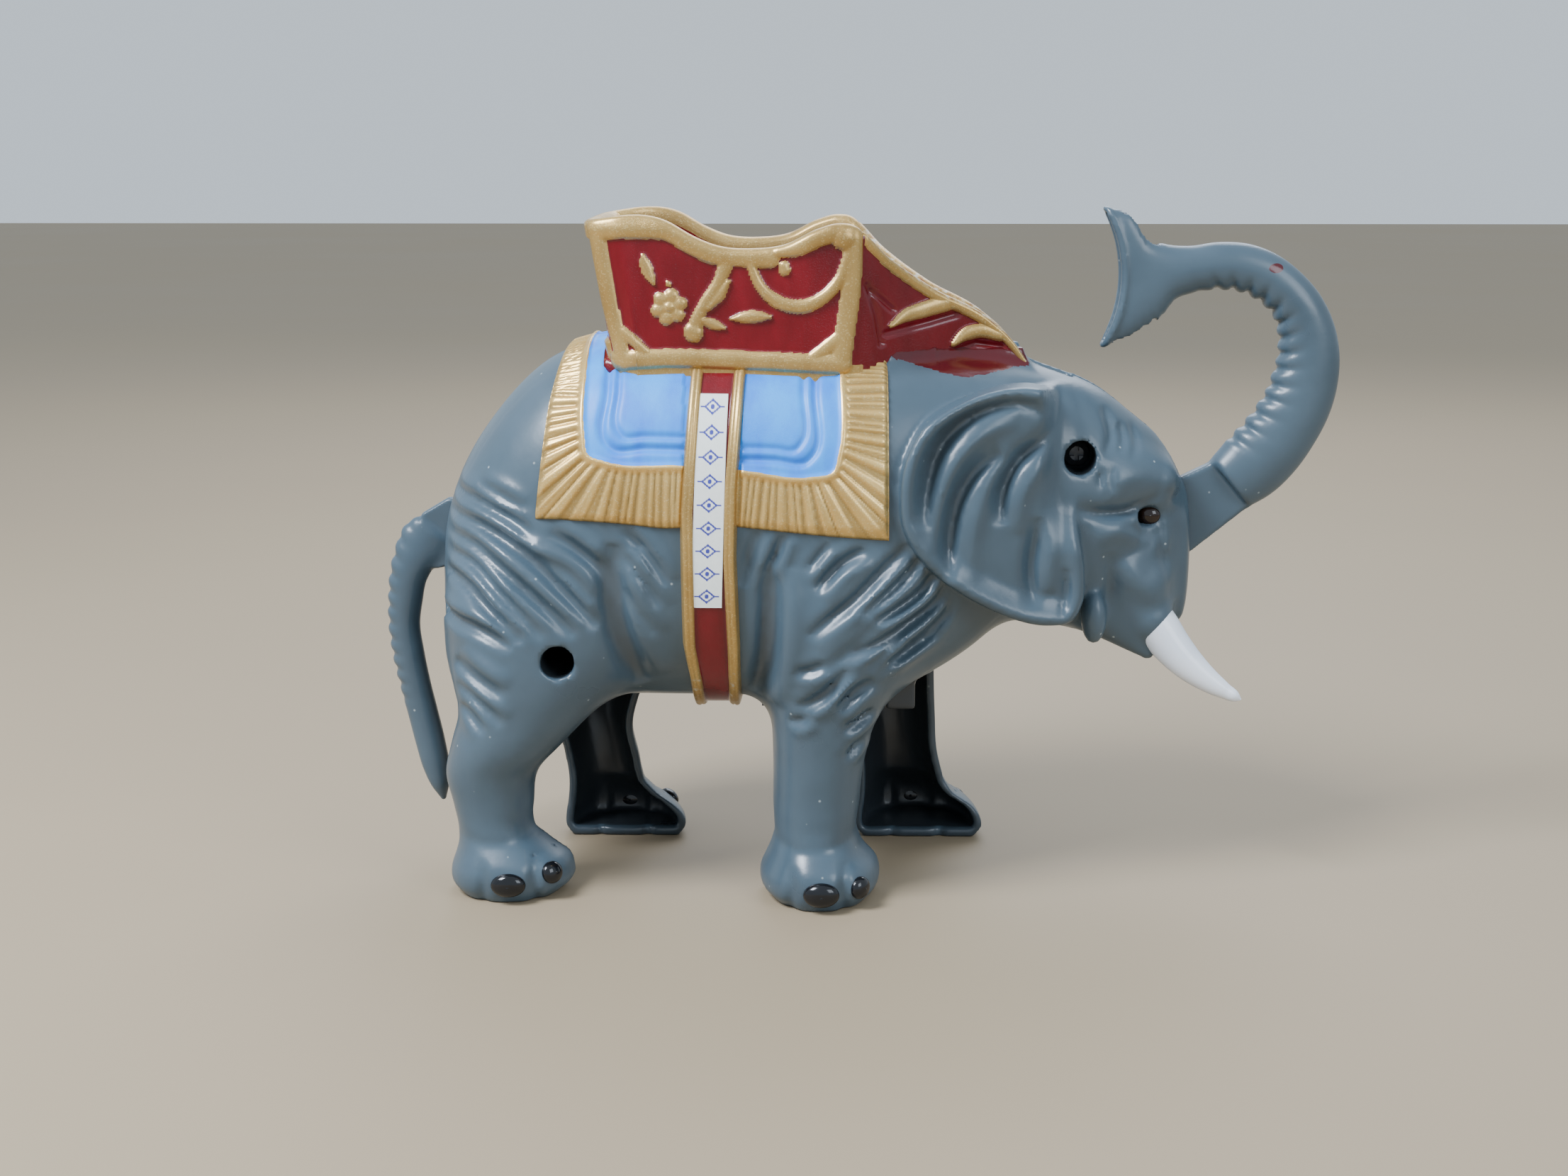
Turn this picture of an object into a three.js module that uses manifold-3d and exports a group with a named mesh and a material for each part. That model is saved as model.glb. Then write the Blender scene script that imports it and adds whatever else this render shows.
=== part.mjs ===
// Elephant coin bank: two moulded half shells joined by screws, a curled trunk
// that throws the coin into the howdah, and a tail that works the trunk through
// a wire link. Millimetres, +X towards the trunk, +Z up, floor at z = 0.
import * as THREE from 'three';
import { mergeVertices } from 'three/addons/utils/BufferGeometryUtils.js';
import Module from 'manifold-3d';

const wasm = await Module();
wasm.setup();

// Overall sizes: the sculpture's stations below are drawn for DRAWN and stretched.
const LENGTH = 190;
const WIDTH = 68;
const HEIGHT = 133;
const DRAWN = { length: 190, width: 68, height: 133 };

// Shell walls and what is raised on them.
const WALL = 2.4;
const SOLE = 2.0;
const LEG_WALL = 1.8;
const SEAM_GAP = 0.3;
const BLANKET_RISE = 1.6;
const STRAP_RISE = 2.2;
const HOWDAH_WALL = 2.6;

// Trunk and tail levers.
const BLADE = 3.0;
const BLADE_CLEARANCE = 0.7;
const HUB_RADIUS = 4.6;
const PIN_DIAMETER = 2.5;
const PIN_CLEARANCE = 0.3;
const PIN_SINK = 6.5;
const BOSS_WALL = 2.4;
const BOSS_CLEARANCE = 0.5;
const COIN_SLIT = { width: 2.4, depth: 11, height: 25 };

// Link: arm lengths, angle of each arm from the vertical, forward positive.
const TAIL_ARM = 10;
const TAIL_ARM_ANGLE = 38;
const TRUNK_ARM = 9.2;
const TRUNK_ARM_ANGLE = 25;
const WIRE_DIAMETER = 1.8;
const EYE_CLEARANCE = 0.8;
const EYE_WALL = 1.2;

// Screws, in deep recesses on the right-hand shell.
const SCREW_SHANK = 2.9;
const SCREW_HEAD = 5.0;
const SCREW_HEAD_HEIGHT = 1.9;
const SCREW_LENGTH = 15;
const SCREW_SEAT = 9;
const SCREW_FIT = 0.35;
const RECESS_CLEARANCE = 0.7;
const RECESS_WALL = 1.5;

// Coin trap in the belly.
const TRAP = { rear: -19, pivotX: 8.5, halfWidth: 9, thickness: 2.4, gap: 0.4 };
const TRAP_PEG = { diameter: 2.2, length: 2.4, clearance: 0.3 };
const TRAP_LIP = { length: 2.2, drop: 2.6, halfWidth: 5 };

// Paper label on the girth strap.
const LABEL = { width: 6.1, bottom: 60, top: 98.6, thickness: 0.3, gap: 0.3 };

const stretch = {
  x: LENGTH / DRAWN.length,
  y: WIDTH / DRAWN.width,
  z: HEIGHT / DRAWN.height,
};
const X = (x) => x * stretch.x;
const Y = (y) => y * stretch.y;
const Z = (z) => z * stretch.z;
const radians = THREE.MathUtils.degToRad;

const TRUNK_PIVOT = [X(53), Z(69)];
const TAIL_PIVOT = [X(-75), Z(70)];
const HEAD_SCREW = [X(42.4), Z(86.4)];
const HIP_SCREW = [X(-57.2), Z(48.9)];
const RIM = Y(15);
const slotHalf = BLADE / 2 + BLADE_CLEARANCE;
const lipSlotHalf = 3.2 + BLADE_CLEARANCE;
const pinBossFace = BLADE / 2 + BOSS_CLEARANCE + 0.5;

// Torso: x, top, bottom, half width.
const TORSO = [
  [-82.6, 66, 58, 3], [-81, 75, 46, 12], [-78, 83, 41, 18.5], [-71, 94, 38, 24.5],
  [-62, 103, 37.5, 28], [-52, 107, 37.2, 29.8], [-38, 108, 37, 30.8],
  [-22, 108, 37, 31], [-6, 108, 37, 30.8], [6, 107.5, 37.4, 29.4], [14, 106.5, 41, 27.2],
  [22, 105.5, 46, 24.5], [30, 104, 52, 21.5], [34, 102, 57, 18],
];
const TORSO_POWER = 2.6;

// Head: x, top, bottom, half width.
const HEAD = [
  [18, 99, 60, 17], [24, 102, 55, 20], [32, 103.6, 52, 20.5], [40, 101.6, 50.5, 20],
  [47, 98.6, 49, 18], [54, 93.4, 48, 14.5], [60, 88, 49, 10.5], [63.6, 82, 51, 7.5],
  [65.4, 77, 53, 5.5],
];
const HEAD_POWER = 2.3;

// Legs: z, back, front, outer side. Left-hand legs stand a step forward.
const RIGHT_REAR_LEG = [
  [0, -78.5, -58.8, 28], [2, -80.4, -56.4, 29], [4.5, -80.6, -56.2, 29.5],
  [7, -79.8, -57.2, 29], [9.5, -79.1, -60.5, 27.5], [12.5, -79, -63.6, 26.5],
  [18, -80, -64, 26.5], [24, -81.2, -62.9, 27.5], [30, -79.9, -57.6, 29.5],
  [36, -78.4, -52, 30.5], [43, -79.2, -46.5, 31.5], [50, -79, -45, 31.6], [58, -77.5, -47, 30.6],
  [66, -73, -51, 28.6], [73, -68, -55, 25.5],
];
const LEFT_REAR_LEG = [
  [0, -60, -37.4, 28], [2, -61.4, -36, 29], [4.5, -61.5, -36.4, 29.5],
  [7, -61.1, -38.8, 29], [9.5, -60.8, -42.2, 27.5], [12.5, -60.7, -44.4, 26.5],
  [18, -61.5, -45.8, 26.5], [24, -63, -47, 27.5], [30, -65.5, -45.8, 29.5],
  [36, -70, -43.4, 30.5], [43, -76, -41, 31.5], [50, -78.5, -42, 31.6], [58, -77.5, -45, 30.6],
  [66, -73, -51, 28.6], [73, -68, -55, 25.5],
];
const RIGHT_FRONT_LEG = [
  [0, -16.8, 2.4, 32.5], [2, -18.8, 4.3, 33.5], [4.5, -19, 4.6, 34], [7, -18, 3.6, 33.6],
  [9.5, -16.9, 1.3, 32], [12.5, -16.4, 0.2, 30.5], [18, -16.5, 0.6, 30],
  [27, -16.5, 1.6, 30.5], [38, -17.2, 5, 31.6], [46, -19, 9, 32.4], [55, -19.5, 11, 32],
  [64, -17, 10, 30.6], [72, -12, 6, 28],
];
const LEFT_FRONT_LEG = [
  [0, 2, 25.6, 32.5], [2, 0.3, 27.1, 33.5], [4.5, 0.1, 26.8, 34], [7, 0.4, 24.9, 33.6],
  [9.5, 0.7, 21.2, 32], [12.5, 0.8, 19.4, 30.5], [18, 0.5, 17.7, 30],
  [27, -1.2, 17, 30.5], [38, -6, 16.6, 31.6], [46, -14, 16.6, 32.4], [55, -18, 15, 32],
  [64, -16, 12, 30.4], [72, -11, 7, 27.6],
];
const LEG_POWER = 2.4;

// Ear outline, x and z, and how far its two faces stand from the middle plane.
const EAR = [
  [39, 101], [27, 100.5], [18.7, 98], [12, 94], [8.6, 88], [7.6, 80], [10.6, 70],
  [18.6, 62.4], [29.6, 56.4], [36, 55], [41.2, 56.4], [42.5, 64.5], [42, 72], [40.6, 84],
  [40.6, 96],
];
const EAR_FRONT = { x: 42, inner: 12, outer: 22.5 };
const EAR_REAR = { x: 7.6, inner: 26, outer: 32.6 };

// Tusk: x, side, z, radius.
const TUSK = [
  [55.5, 8.5, 56, 4.4], [59, 9.8, 52.2, 4.3], [62, 11, 48.2, 3.9], [65.2, 12, 44.8, 3.3],
  [68.8, 12.9, 41.9, 2.5], [72.5, 13.6, 39.6, 1.6], [75.4, 14, 38.2, 0.6],
];

// Trunk beyond its blade: x, z, half depth, half thickness, squareness where it isn't 2.
const TRUNK = [
  [74.1, 78.9, 6.1, 4.6], [78, 82.2, 7.0, 4.9], [81.4, 85.8, 7.1, 5], [84.5, 90.2, 6.9, 4.9],
  [86.9, 94.8, 6.7, 4.8], [88.2, 99.4, 6.5, 4.6], [88.7, 104, 6.1, 4.5], [88.1, 108.9, 5.6, 4.3],
  [86.4, 113.4, 5, 4.2], [83.4, 117.1, 4.7, 4.1], [79.6, 119.9, 4.7, 4], [75.4, 121.5, 4.7, 3.9],
  [70.5, 121.9, 4.6, 3.8], [65.2, 121.2, 4.6, 3.6], [60.8, 120.6, 5.6, 3.4],
  [56.2, 119.6, 9.3, 3.2, 2.6], [53, 119.5, 11.9, 3.1, 3.4], [50, 119.7, 13.1, 2.9, 4],
  [47.4, 119.7, 13.5, 2.6, 4],
];
const TRUNK_BLADE = [[70.4, 83.2], [64.2, 80.2], [56, 74], [50, 66], [54, 64.2], [65.2, 64],
  [78, 74.4]];
const LIP_HOLLOW = { x: 25.2, radius: 26 };

// Tail beyond its blade: x, z, half depth, half thickness.
const TAIL = [
  [-86.9, 67.2, 5.2, 2.6], [-89.2, 63.4, 4.4, 3], [-90.7, 59.4, 3.8, 3.1], [-91.4, 54.8, 3.5, 3.1],
  [-91.8, 49.6, 3.2, 3], [-91.1, 43.2, 3.2, 3], [-89.9, 36.8, 3.1, 2.9], [-88.5, 30.6, 3.05, 2.8],
  [-87.2, 24.6, 3, 2.7], [-86.2, 19.6, 2.7, 2.5], [-85.4, 15.6, 1.8, 1.9], [-84.9, 13, 0.6, 0.8],
];
const TAIL_BLADE = [[-87.4, 72.4], [-82, 75.6], [-74, 75], [-72, 66], [-78, 63],
  [-84.5, 61.2], [-87, 62]];

// Howdah and its ramp: plan of one side, then the rail's height along the side.
const HOWDAH_SIDE = [[-51.6, 0], [-51.4, 10], [-50, 21], [-46, 22.4], [-2, 22.4], [2, 20.4],
  [10, 13.6], [20, 9.2], [34, 7]];
const HOWDAH_LEAN = 0.16;
const HOWDAH_RAIL = [
  [-54, 131.4], [-36, 131.4], [-31, 128.6], [-27, 127], [-20, 126.4], [-14, 127.2],
  [-8, 130], [-4, 131], [-1, 130.6], [5, 125], [13.7, 118.7], [25, 112.4], [30, 107.8], [33.4, 102],
];

// Side views of what lies on the torso.
const BLANKET = [[-57, 110], [-59.2, 98], [-61, 78.2], [-34, 75.2], [5.6, 72.4], [5.2, 110]];
const STRAP = [[-32.6, 110], [-33.6, 78], [-33.4, 52], [-31.4, 30], [-21.6, 30], [-22.5, 60],
  [-22.6, 84], [-20.8, 110]];

// Closed solid from rings that all have the same number of points.
function loft(rings) {
  const count = rings[0].length;
  const vertices = rings.flat(2);
  const middles = [rings[0], rings[rings.length - 1]].map((ring) =>
    [0, 1, 2].map((axis) => ring.reduce((sum, point) => sum + point[axis], 0) / count));
  vertices.push(...middles.flat());
  const firstMiddle = rings.length * count;
  const faces = [];
  for (let i = 0; i < count; i += 1) {
    const next = (i + 1) % count;
    for (let r = 0; r + 1 < rings.length; r += 1) {
      const low = r * count;
      const high = low + count;
      faces.push(low + i, low + next, high + next, low + i, high + next, high + i);
    }
    const last = firstMiddle - count;
    faces.push(firstMiddle, next, i, firstMiddle + 1, last + i, last + next);
  }
  return solidFrom(vertices, faces);
}

function solidFrom(vertices, faces) {
  const points = new Float32Array(vertices);
  const triangles = new Uint32Array(faces);
  const corner = (index) => new THREE.Vector3().fromArray(points, 3 * index);
  let volume = 0;
  for (let t = 0; t < triangles.length; t += 3) {
    const [a, b, c] = [0, 1, 2].map((k) => corner(triangles[t + k]));
    volume += a.dot(b.cross(c));
  }
  if (volume < 0) {
    for (let t = 0; t < triangles.length; t += 3) {
      [triangles[t], triangles[t + 1]] = [triangles[t + 1], triangles[t]];
    }
  }
  const surface = { numProp: 3, vertProperties: points, triVerts: triangles };
  return new wasm.Manifold(new wasm.Mesh(surface));
}

function solid(geometry) {
  geometry.deleteAttribute('normal');
  geometry.deleteAttribute('uv');
  const merged = mergeVertices(geometry, 1e-4);
  return solidFrom(merged.attributes.position.array, merged.index.array);
}

const join = (...solids) => solids.reduce((all, next) => all.add(next));

function box(x0, x1, y0, y1, z0, z1) {
  const geometry = new THREE.BoxGeometry(x1 - x0, y1 - y0, z1 - z0);
  geometry.translate((x0 + x1) / 2, (y0 + y1) / 2, (z0 + z1) / 2);
  return solid(geometry);
}

// Round bar along Y between two sides, centred on a point of the side view.
function bar([x, z], diameter, y0, y1, sides = 20) {
  const geometry = new THREE.CylinderGeometry(diameter / 2, diameter / 2, y1 - y0, sides);
  geometry.translate(x, (y0 + y1) / 2, z);
  return solid(geometry);
}

// Plate drawn in the side view and as thick as y0 to y1.
function plate(outline, y0, y1) {
  const shape = new THREE.Shape(outline.map(([x, z]) => new THREE.Vector2(x, z)));
  const geometry = new THREE.ExtrudeGeometry(shape, { depth: y1 - y0, bevelEnabled: false });
  geometry.rotateX(Math.PI / 2);
  geometry.translate(0, y1, 0);
  return solid(geometry);
}

// Column drawn in plan and standing from z0 to z1.
function column(outline, z0, z1) {
  const shape = new THREE.Shape(outline.map(([x, y]) => new THREE.Vector2(x, y)));
  const geometry = new THREE.ExtrudeGeometry(shape, { depth: z1 - z0, bevelEnabled: false });
  geometry.translate(0, 0, z0);
  return geometry;
}

const place = (outline) => outline.map(([x, z]) => [X(x), Z(z)]);
const spring = (value, power) => Math.sign(value) * Math.abs(value) ** (2 / power);

// Ring in a plane across the length: a rounded rectangle with soft corners.
function crossRing(x, top, bottom, halfWidth, power, count) {
  const ring = [];
  for (let i = 0; i < count; i += 1) {
    const angle = (2 * Math.PI * (i + 0.5)) / count;
    const side = halfWidth * spring(Math.cos(angle), power);
    const height = (top + bottom) / 2 + ((top - bottom) / 2) * spring(Math.sin(angle), power);
    ring.push([x, side, height]);
  }
  return ring;
}

// Lengthwise body from stations, made smaller all round by inset.
function lengthwise(stations, power, inset, count = 28) {
  const rings = [];
  const tips = [stations[0][0], stations[stations.length - 1][0]].map(X);
  stations.forEach(([x, top, bottom, halfWidth], index) => {
    const room = [Y(halfWidth), Z(top - bottom) / 2].every((half) => half > inset + 1.5);
    const outermost = index === 0 || index === stations.length - 1;
    const depth = Math.min(X(x) - tips[0], tips[1] - X(x));
    if (inset > 0 && (!room || outermost || depth < inset)) return;
    const ends = inset < 0 && outermost ? Math.sign(X(x)) * -inset : 0;
    const half = Y(halfWidth) - inset;
    rings.push(crossRing(X(x) + ends, Z(top) - inset, Z(bottom) + inset, half, power, count));
  });
  return loft(rings);
}

// Half width of the torso at a place on its side, grown by rise.
function torsoSide(x, z, rise) {
  const next = TORSO.findIndex(([station]) => X(station) > x);
  const [before, after] = [TORSO[next - 1], TORSO[next]];
  const share = (x - X(before[0])) / X(after[0] - before[0]);
  const [, top, bottom, half] = before.map((value, k) => value + share * (after[k] - value));
  const halfHeight = Z(top - bottom) / 2 + rise;
  const away = Math.abs(z - Z(top + bottom) / 2) / halfHeight;
  return (Y(half) + rise) * (1 - away ** TORSO_POWER) ** (1 / TORSO_POWER);
}

// Leg as a half tube, open towards the middle plane.
function leg(stations, side, inset) {
  const count = 14;
  const rings = stations.map(([z, back, front, outer], index) => {
    const middle = X(back + front) / 2;
    const halfLength = X(front - back) / 2 - inset;
    const reach = Y(outer) - RIM - inset;
    const rimPlane = inset > 0 ? RIM - 1 : RIM;
    const height = index === 0 && inset > 0 ? SOLE : Z(z);
    const ring = [];
    for (let i = 0; i <= count; i += 1) {
      const angle = (Math.PI * i) / count;
      const along = middle + halfLength * spring(Math.cos(angle), LEG_POWER);
      const onRim = i === 0 || i === count;
      const out = onRim ? rimPlane : RIM + reach * spring(Math.sin(angle), LEG_POWER);
      ring.push([along, side * out, height]);
    }
    return ring;
  });
  const aboveSole = (ring, index) => index === 0 || ring[0][2] > SOLE + 0.5;
  return loft(inset > 0 ? rings.filter(aboveSole) : rings);
}

// Curved limb whose axis lies in or near the side view, from stations of
// centre, half depth in the side view and half thickness across it.
function limb(stations, count = 14) {
  const centre = stations.map(({ at }) => new THREE.Vector3(...at));
  const rings = stations.map(({ deep, thick, power = 2 }, index) => {
    const before = centre[Math.max(index - 1, 0)];
    const after = centre[Math.min(index + 1, centre.length - 1)];
    const along = after.clone().sub(before).normalize();
    const normal = new THREE.Vector3(0, 1, 0).cross(along).normalize();
    const across = along.clone().cross(normal);
    const ring = [];
    for (let i = 0; i < count; i += 1) {
      const angle = (2 * Math.PI * (i + 0.5)) / count;
      const point = centre[index].clone();
      point.addScaledVector(normal, deep * spring(Math.cos(angle), power));
      point.addScaledVector(across, thick * spring(Math.sin(angle), power));
      ring.push(point.toArray());
    }
    return ring;
  });
  return loft(rings);
}

const sideLimb = (stations) => limb(stations.map(([x, z, deep, thick, power]) =>
  ({ at: [X(x), 0, Z(z)], deep, thick, power })));

function earSolid(side) {
  const curve = new THREE.CatmullRomCurve3(
    EAR.map(([x, z]) => new THREE.Vector3(X(x), 0, Z(z))), true);
  const outline = curve.getPoints(36).slice(0, -1).map(({ x, z }) => [x, z]);
  const shape = new THREE.Shape(outline.map(([x, z]) => new THREE.Vector2(x, z)));
  const geometry = new THREE.ExtrudeGeometry(shape, { depth: 1, bevelEnabled: false });
  const position = geometry.attributes.position;
  for (let i = 0; i < position.count; i += 1) {
    const [x, z, level] = [position.getX(i), position.getY(i), position.getZ(i)];
    const share = (x - X(EAR_REAR.x)) / X(EAR_FRONT.x - EAR_REAR.x);
    const face = level > 0.5 ? 'outer' : 'inner';
    const out = Y(EAR_REAR[face] + share * (EAR_FRONT[face] - EAR_REAR[face]));
    position.setXYZ(i, x, side * out, z);
  }
  return solid(geometry);
}

const tuskSolid = (side) => limb(TUSK.map(([x, y, z, radius]) =>
  ({ at: [X(x), side * Y(y), Z(z)], deep: radius, thick: radius })), 12);

// Open channel of the howdah and the ramp in front of it.
function howdahSolid() {
  const outer = HOWDAH_SIDE.map(([x, y]) => [X(x), Y(y)]);
  const inner = outer.map(([x, y], index) => {
    const before = outer[Math.max(index - 1, 0)];
    const after = outer[Math.min(index + 1, outer.length - 1)];
    const run = Math.hypot(after[0] - before[0], after[1] - before[1]);
    const normal = [(after[1] - before[1]) / run, -(after[0] - before[0]) / run];
    if (index === 0) return [x + HOWDAH_WALL, y];
    if (index === outer.length - 1) return [x + HOWDAH_WALL, y - HOWDAH_WALL];
    return [x + normal[0] * HOWDAH_WALL, y + normal[1] * HOWDAH_WALL];
  });
  const mirrored = (side) => [...side, ...side.slice(1).reverse().map(([x, y]) => [x, -y])];
  const [base, brim] = [Z(96), Z(134)];
  const lean = (geometry) => {
    const position = geometry.attributes.position;
    for (let i = 0; i < position.count; i += 1) {
      const x = position.getX(i);
      const rearness = THREE.MathUtils.clamp((X(-42) - x) / X(4), 0, 1);
      position.setX(i, x + rearness * HOWDAH_LEAN * (Z(131) - position.getZ(i)));
    }
    return solid(geometry);
  };
  const [body, core] = [outer, inner].map((side) => lean(column(mirrored(side), base, brim)));
  const walls = body.subtract(core);
  const rail = new THREE.SplineCurve(place(HOWDAH_RAIL).map(([x, z]) => new THREE.Vector2(x, z)));
  const profile = rail.getPoints(44).map(({ x, y }) => [x, y]);
  const sideView = [...profile, [X(34.5), Z(99)], [X(34.5), Z(90)], [X(-54), Z(90)]];
  return walls.intersect(plate(sideView, -WIDTH, WIDTH));
}

const torsoOuter = lengthwise(TORSO, TORSO_POWER, 0);
const headOuter = lengthwise(HEAD, HEAD_POWER, 0);
const outside = join(torsoOuter, headOuter);
const inside = join(lengthwise(TORSO, TORSO_POWER, WALL), lengthwise(HEAD, HEAD_POWER, WALL));
const overlay = (outline, rise) => lengthwise(TORSO, TORSO_POWER, -rise)
  .intersect(plate(place(outline), -WIDTH, WIDTH));
const blanket = overlay(BLANKET, BLANKET_RISE);
const strap = overlay(STRAP, STRAP_RISE);
const dressed = join(outside, blanket, strap, howdahSolid());

// Slots for the two blades: the trunk's runs over the head, and widens at the
// ramp because the lip of the trunk dips into it.
const TRUNK_SLOT = [[6, 97], [32, 96], [41, 95], [50, 88], [57, 81], [58.5, 63.2], [80, 63.2],
  [80, 140], [6, 140]];
const LIP_SLOT = [[6, 97], [42, 95], [42, 140], [6, 140]];
const TAIL_SLOT = [[-92, 60.4], [-77, 60.4], [-74, 72], [-77, 84], [-92, 84]];
const slots = join(
  plate(place(TRUNK_SLOT), -slotHalf, slotHalf),
  plate(place(LIP_SLOT), -lipSlotHalf, lipSlotHalf),
  plate(place(TAIL_SLOT), -slotHalf, slotHalf));

const trapPivot = [X(TRAP.pivotX), Z(TORSO[8][2]) + 0.8];
const trapFloor = Z(TORSO[8][2]) - 0.4;
const trapLevel = [trapFloor, trapFloor + TRAP.thickness];
const trapHalf = TRAP.halfWidth + TRAP.gap;
const lugs = [-1, 1].map((side) => {
  const faces = [side * trapHalf, side * (trapHalf + TRAP_PEG.length + 1.4)].sort((a, b) => a - b);
  return box(trapPivot[0] - 3, trapPivot[0] + 3, ...faces, trapPivot[1] - 2.4, trapPivot[1] + 3.4);
});
const trapOpening = join(
  box(X(TRAP.rear) - TRAP.gap, trapPivot[0] + 2.6, -trapHalf, trapHalf,
    trapLevel[0] - 4, trapLevel[1] + 4),
  bar(trapPivot, TRAP_PEG.diameter + 2 * TRAP_PEG.clearance,
    -trapHalf - TRAP_PEG.length, trapHalf + TRAP_PEG.length));

const pinHole = PIN_DIAMETER + 2 * PIN_CLEARANCE;
const pinReach = pinBossFace + PIN_SINK;

function pinBoss(pivot, side) {
  const [y0, y1] = [side * pinBossFace, side * Y(30)].sort((a, b) => a - b);
  return bar(pivot, pinHole + 2 * BOSS_WALL, y0, y1).intersect(outside);
}

const recess = SCREW_HEAD + 2 * RECESS_CLEARANCE;

function screwBoss(centre, side) {
  const [y0, y1] = [0, side * Y(36)].sort((a, b) => a - b);
  const around = side < 0 ? recess + 2 * RECESS_WALL : SCREW_SHANK + 2 * BOSS_WALL;
  return bar(centre, around, y0, y1, 28).intersect(outside);
}

const screwBody = SCREW_SHANK + 2 * SCREW_FIT;
const screwHole = (centre) => join(
  bar(centre, recess, -WIDTH, -SCREW_SEAT, 28),
  bar(centre, screwBody, -SCREW_SEAT - 1, SCREW_LENGTH - SCREW_SEAT + 1));

function shell(side, rearLeg, frontLeg) {
  const legs = [rearLeg, frontLeg];
  const legSolids = legs.map((stations) => leg(stations, side, 0));
  const skin = join(dressed, ...legSolids, earSolid(side), tuskSolid(side), ...lugs);
  const legHollows = join(...legs.map((stations) => leg(stations, side, LEG_WALL)))
    .subtract(torsoOuter);
  const bosses = [pinBoss(TRUNK_PIVOT, side), pinBoss(TAIL_PIVOT, side),
    screwBoss(HEAD_SCREW, side), screwBoss(HIP_SCREW, side)];
  const deep = pinReach + PIN_CLEARANCE;
  const pinHoles = [TRUNK_PIVOT, TAIL_PIVOT].map((pivot) => bar(pivot, pinHole, -deep, deep));
  const holes = [screwHole(HEAD_SCREW), screwHole(HIP_SCREW), ...pinHoles, slots, trapOpening];
  const [y0, y1] = [side * (SEAM_GAP / 2), side * WIDTH].sort((a, b) => a - b);
  const half = box(-LENGTH, LENGTH, y0, y1, -HEIGHT, 2 * HEIGHT);
  const walls = skin.subtract(inside).subtract(legHollows);
  return join(walls, ...bosses).subtract(join(...holes)).intersect(half);
}

// Eye of a lever arm: an arm from the pivot to the eye and its hole.
function armEnd(pivot, length, angle, up) {
  const lean = radians(angle);
  return [pivot[0] + length * Math.sin(lean), pivot[1] + up * length * Math.cos(lean)];
}

const tailEye = armEnd(TAIL_PIVOT, TAIL_ARM, TAIL_ARM_ANGLE, -1);
const trunkEye = armEnd(TRUNK_PIVOT, TRUNK_ARM, TRUNK_ARM_ANGLE, 1);
const eyeHole = WIRE_DIAMETER + 2 * EYE_CLEARANCE;

function arm(pivot, eye) {
  const [dx, dz] = [eye[0] - pivot[0], eye[1] - pivot[1]];
  const run = Math.hypot(dx, dz);
  const half = eyeHole / 2 + EYE_WALL;
  const [nx, nz] = [(-dz / run) * half, (dx / run) * half];
  const web = [[pivot[0] + nx, pivot[1] + nz], [pivot[0] - nx, pivot[1] - nz],
    [eye[0] - nx, eye[1] - nz], [eye[0] + nx, eye[1] + nz]];
  return join(plate(web, -BLADE / 2, BLADE / 2), bar(eye, 2 * half, -BLADE / 2, BLADE / 2));
}

function lever(limbSolid, bladeOutline, pivot, eye) {
  const blade = plate(place(bladeOutline), -BLADE / 2, BLADE / 2);
  const hub = bar(pivot, 2 * HUB_RADIUS, -BLADE / 2, BLADE / 2, 24);
  return join(limbSolid, blade, hub, arm(pivot, eye))
    .subtract(bar(pivot, pinHole, -BLADE, BLADE))
    .subtract(bar(eye, eyeHole, -BLADE, BLADE));
}

function trunkSolid() {
  const lip = TRUNK[TRUNK.length - 1];
  const hollow = bar([X(LIP_HOLLOW.x), Z(lip[1])], 2 * LIP_HOLLOW.radius, -10, 10, 96);
  const [halfWidth, halfHeight] = [COIN_SLIT.width / 2, COIN_SLIT.height / 2];
  const slit = box(X(lip[0]) - 4, X(lip[0]) + COIN_SLIT.depth, -halfWidth, halfWidth,
    Z(lip[1]) - halfHeight, Z(lip[1]) + halfHeight);
  return lever(sideLimb(TRUNK), TRUNK_BLADE, TRUNK_PIVOT, trunkEye).subtract(hollow).subtract(slit);
}

function wireSolid() {
  const lane = BLADE / 2 + WIRE_DIAMETER / 2 + 0.5;
  const ends = [tailEye, trunkEye];
  const hooks = ends.map((eye) => bar(eye, WIRE_DIAMETER, -lane, lane, 10));
  const [from, to] = ends.map(([x, z]) => new THREE.Vector3(x, lane, z));
  const half = WIRE_DIAMETER / 2;
  const rod = new THREE.CylinderGeometry(half, half, from.distanceTo(to), 10);
  const turn = new THREE.Quaternion().setFromUnitVectors(
    new THREE.Vector3(0, 1, 0), to.clone().sub(from).normalize());
  rod.applyQuaternion(turn);
  rod.translate(...from.clone().add(to).multiplyScalar(0.5).toArray());
  const corners = [from, to].map((corner) => {
    const ball = new THREE.IcosahedronGeometry(WIRE_DIAMETER / 2, 1);
    ball.translate(...corner.toArray());
    return solid(ball);
  });
  return join(...hooks, solid(rod), ...corners);
}

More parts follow.
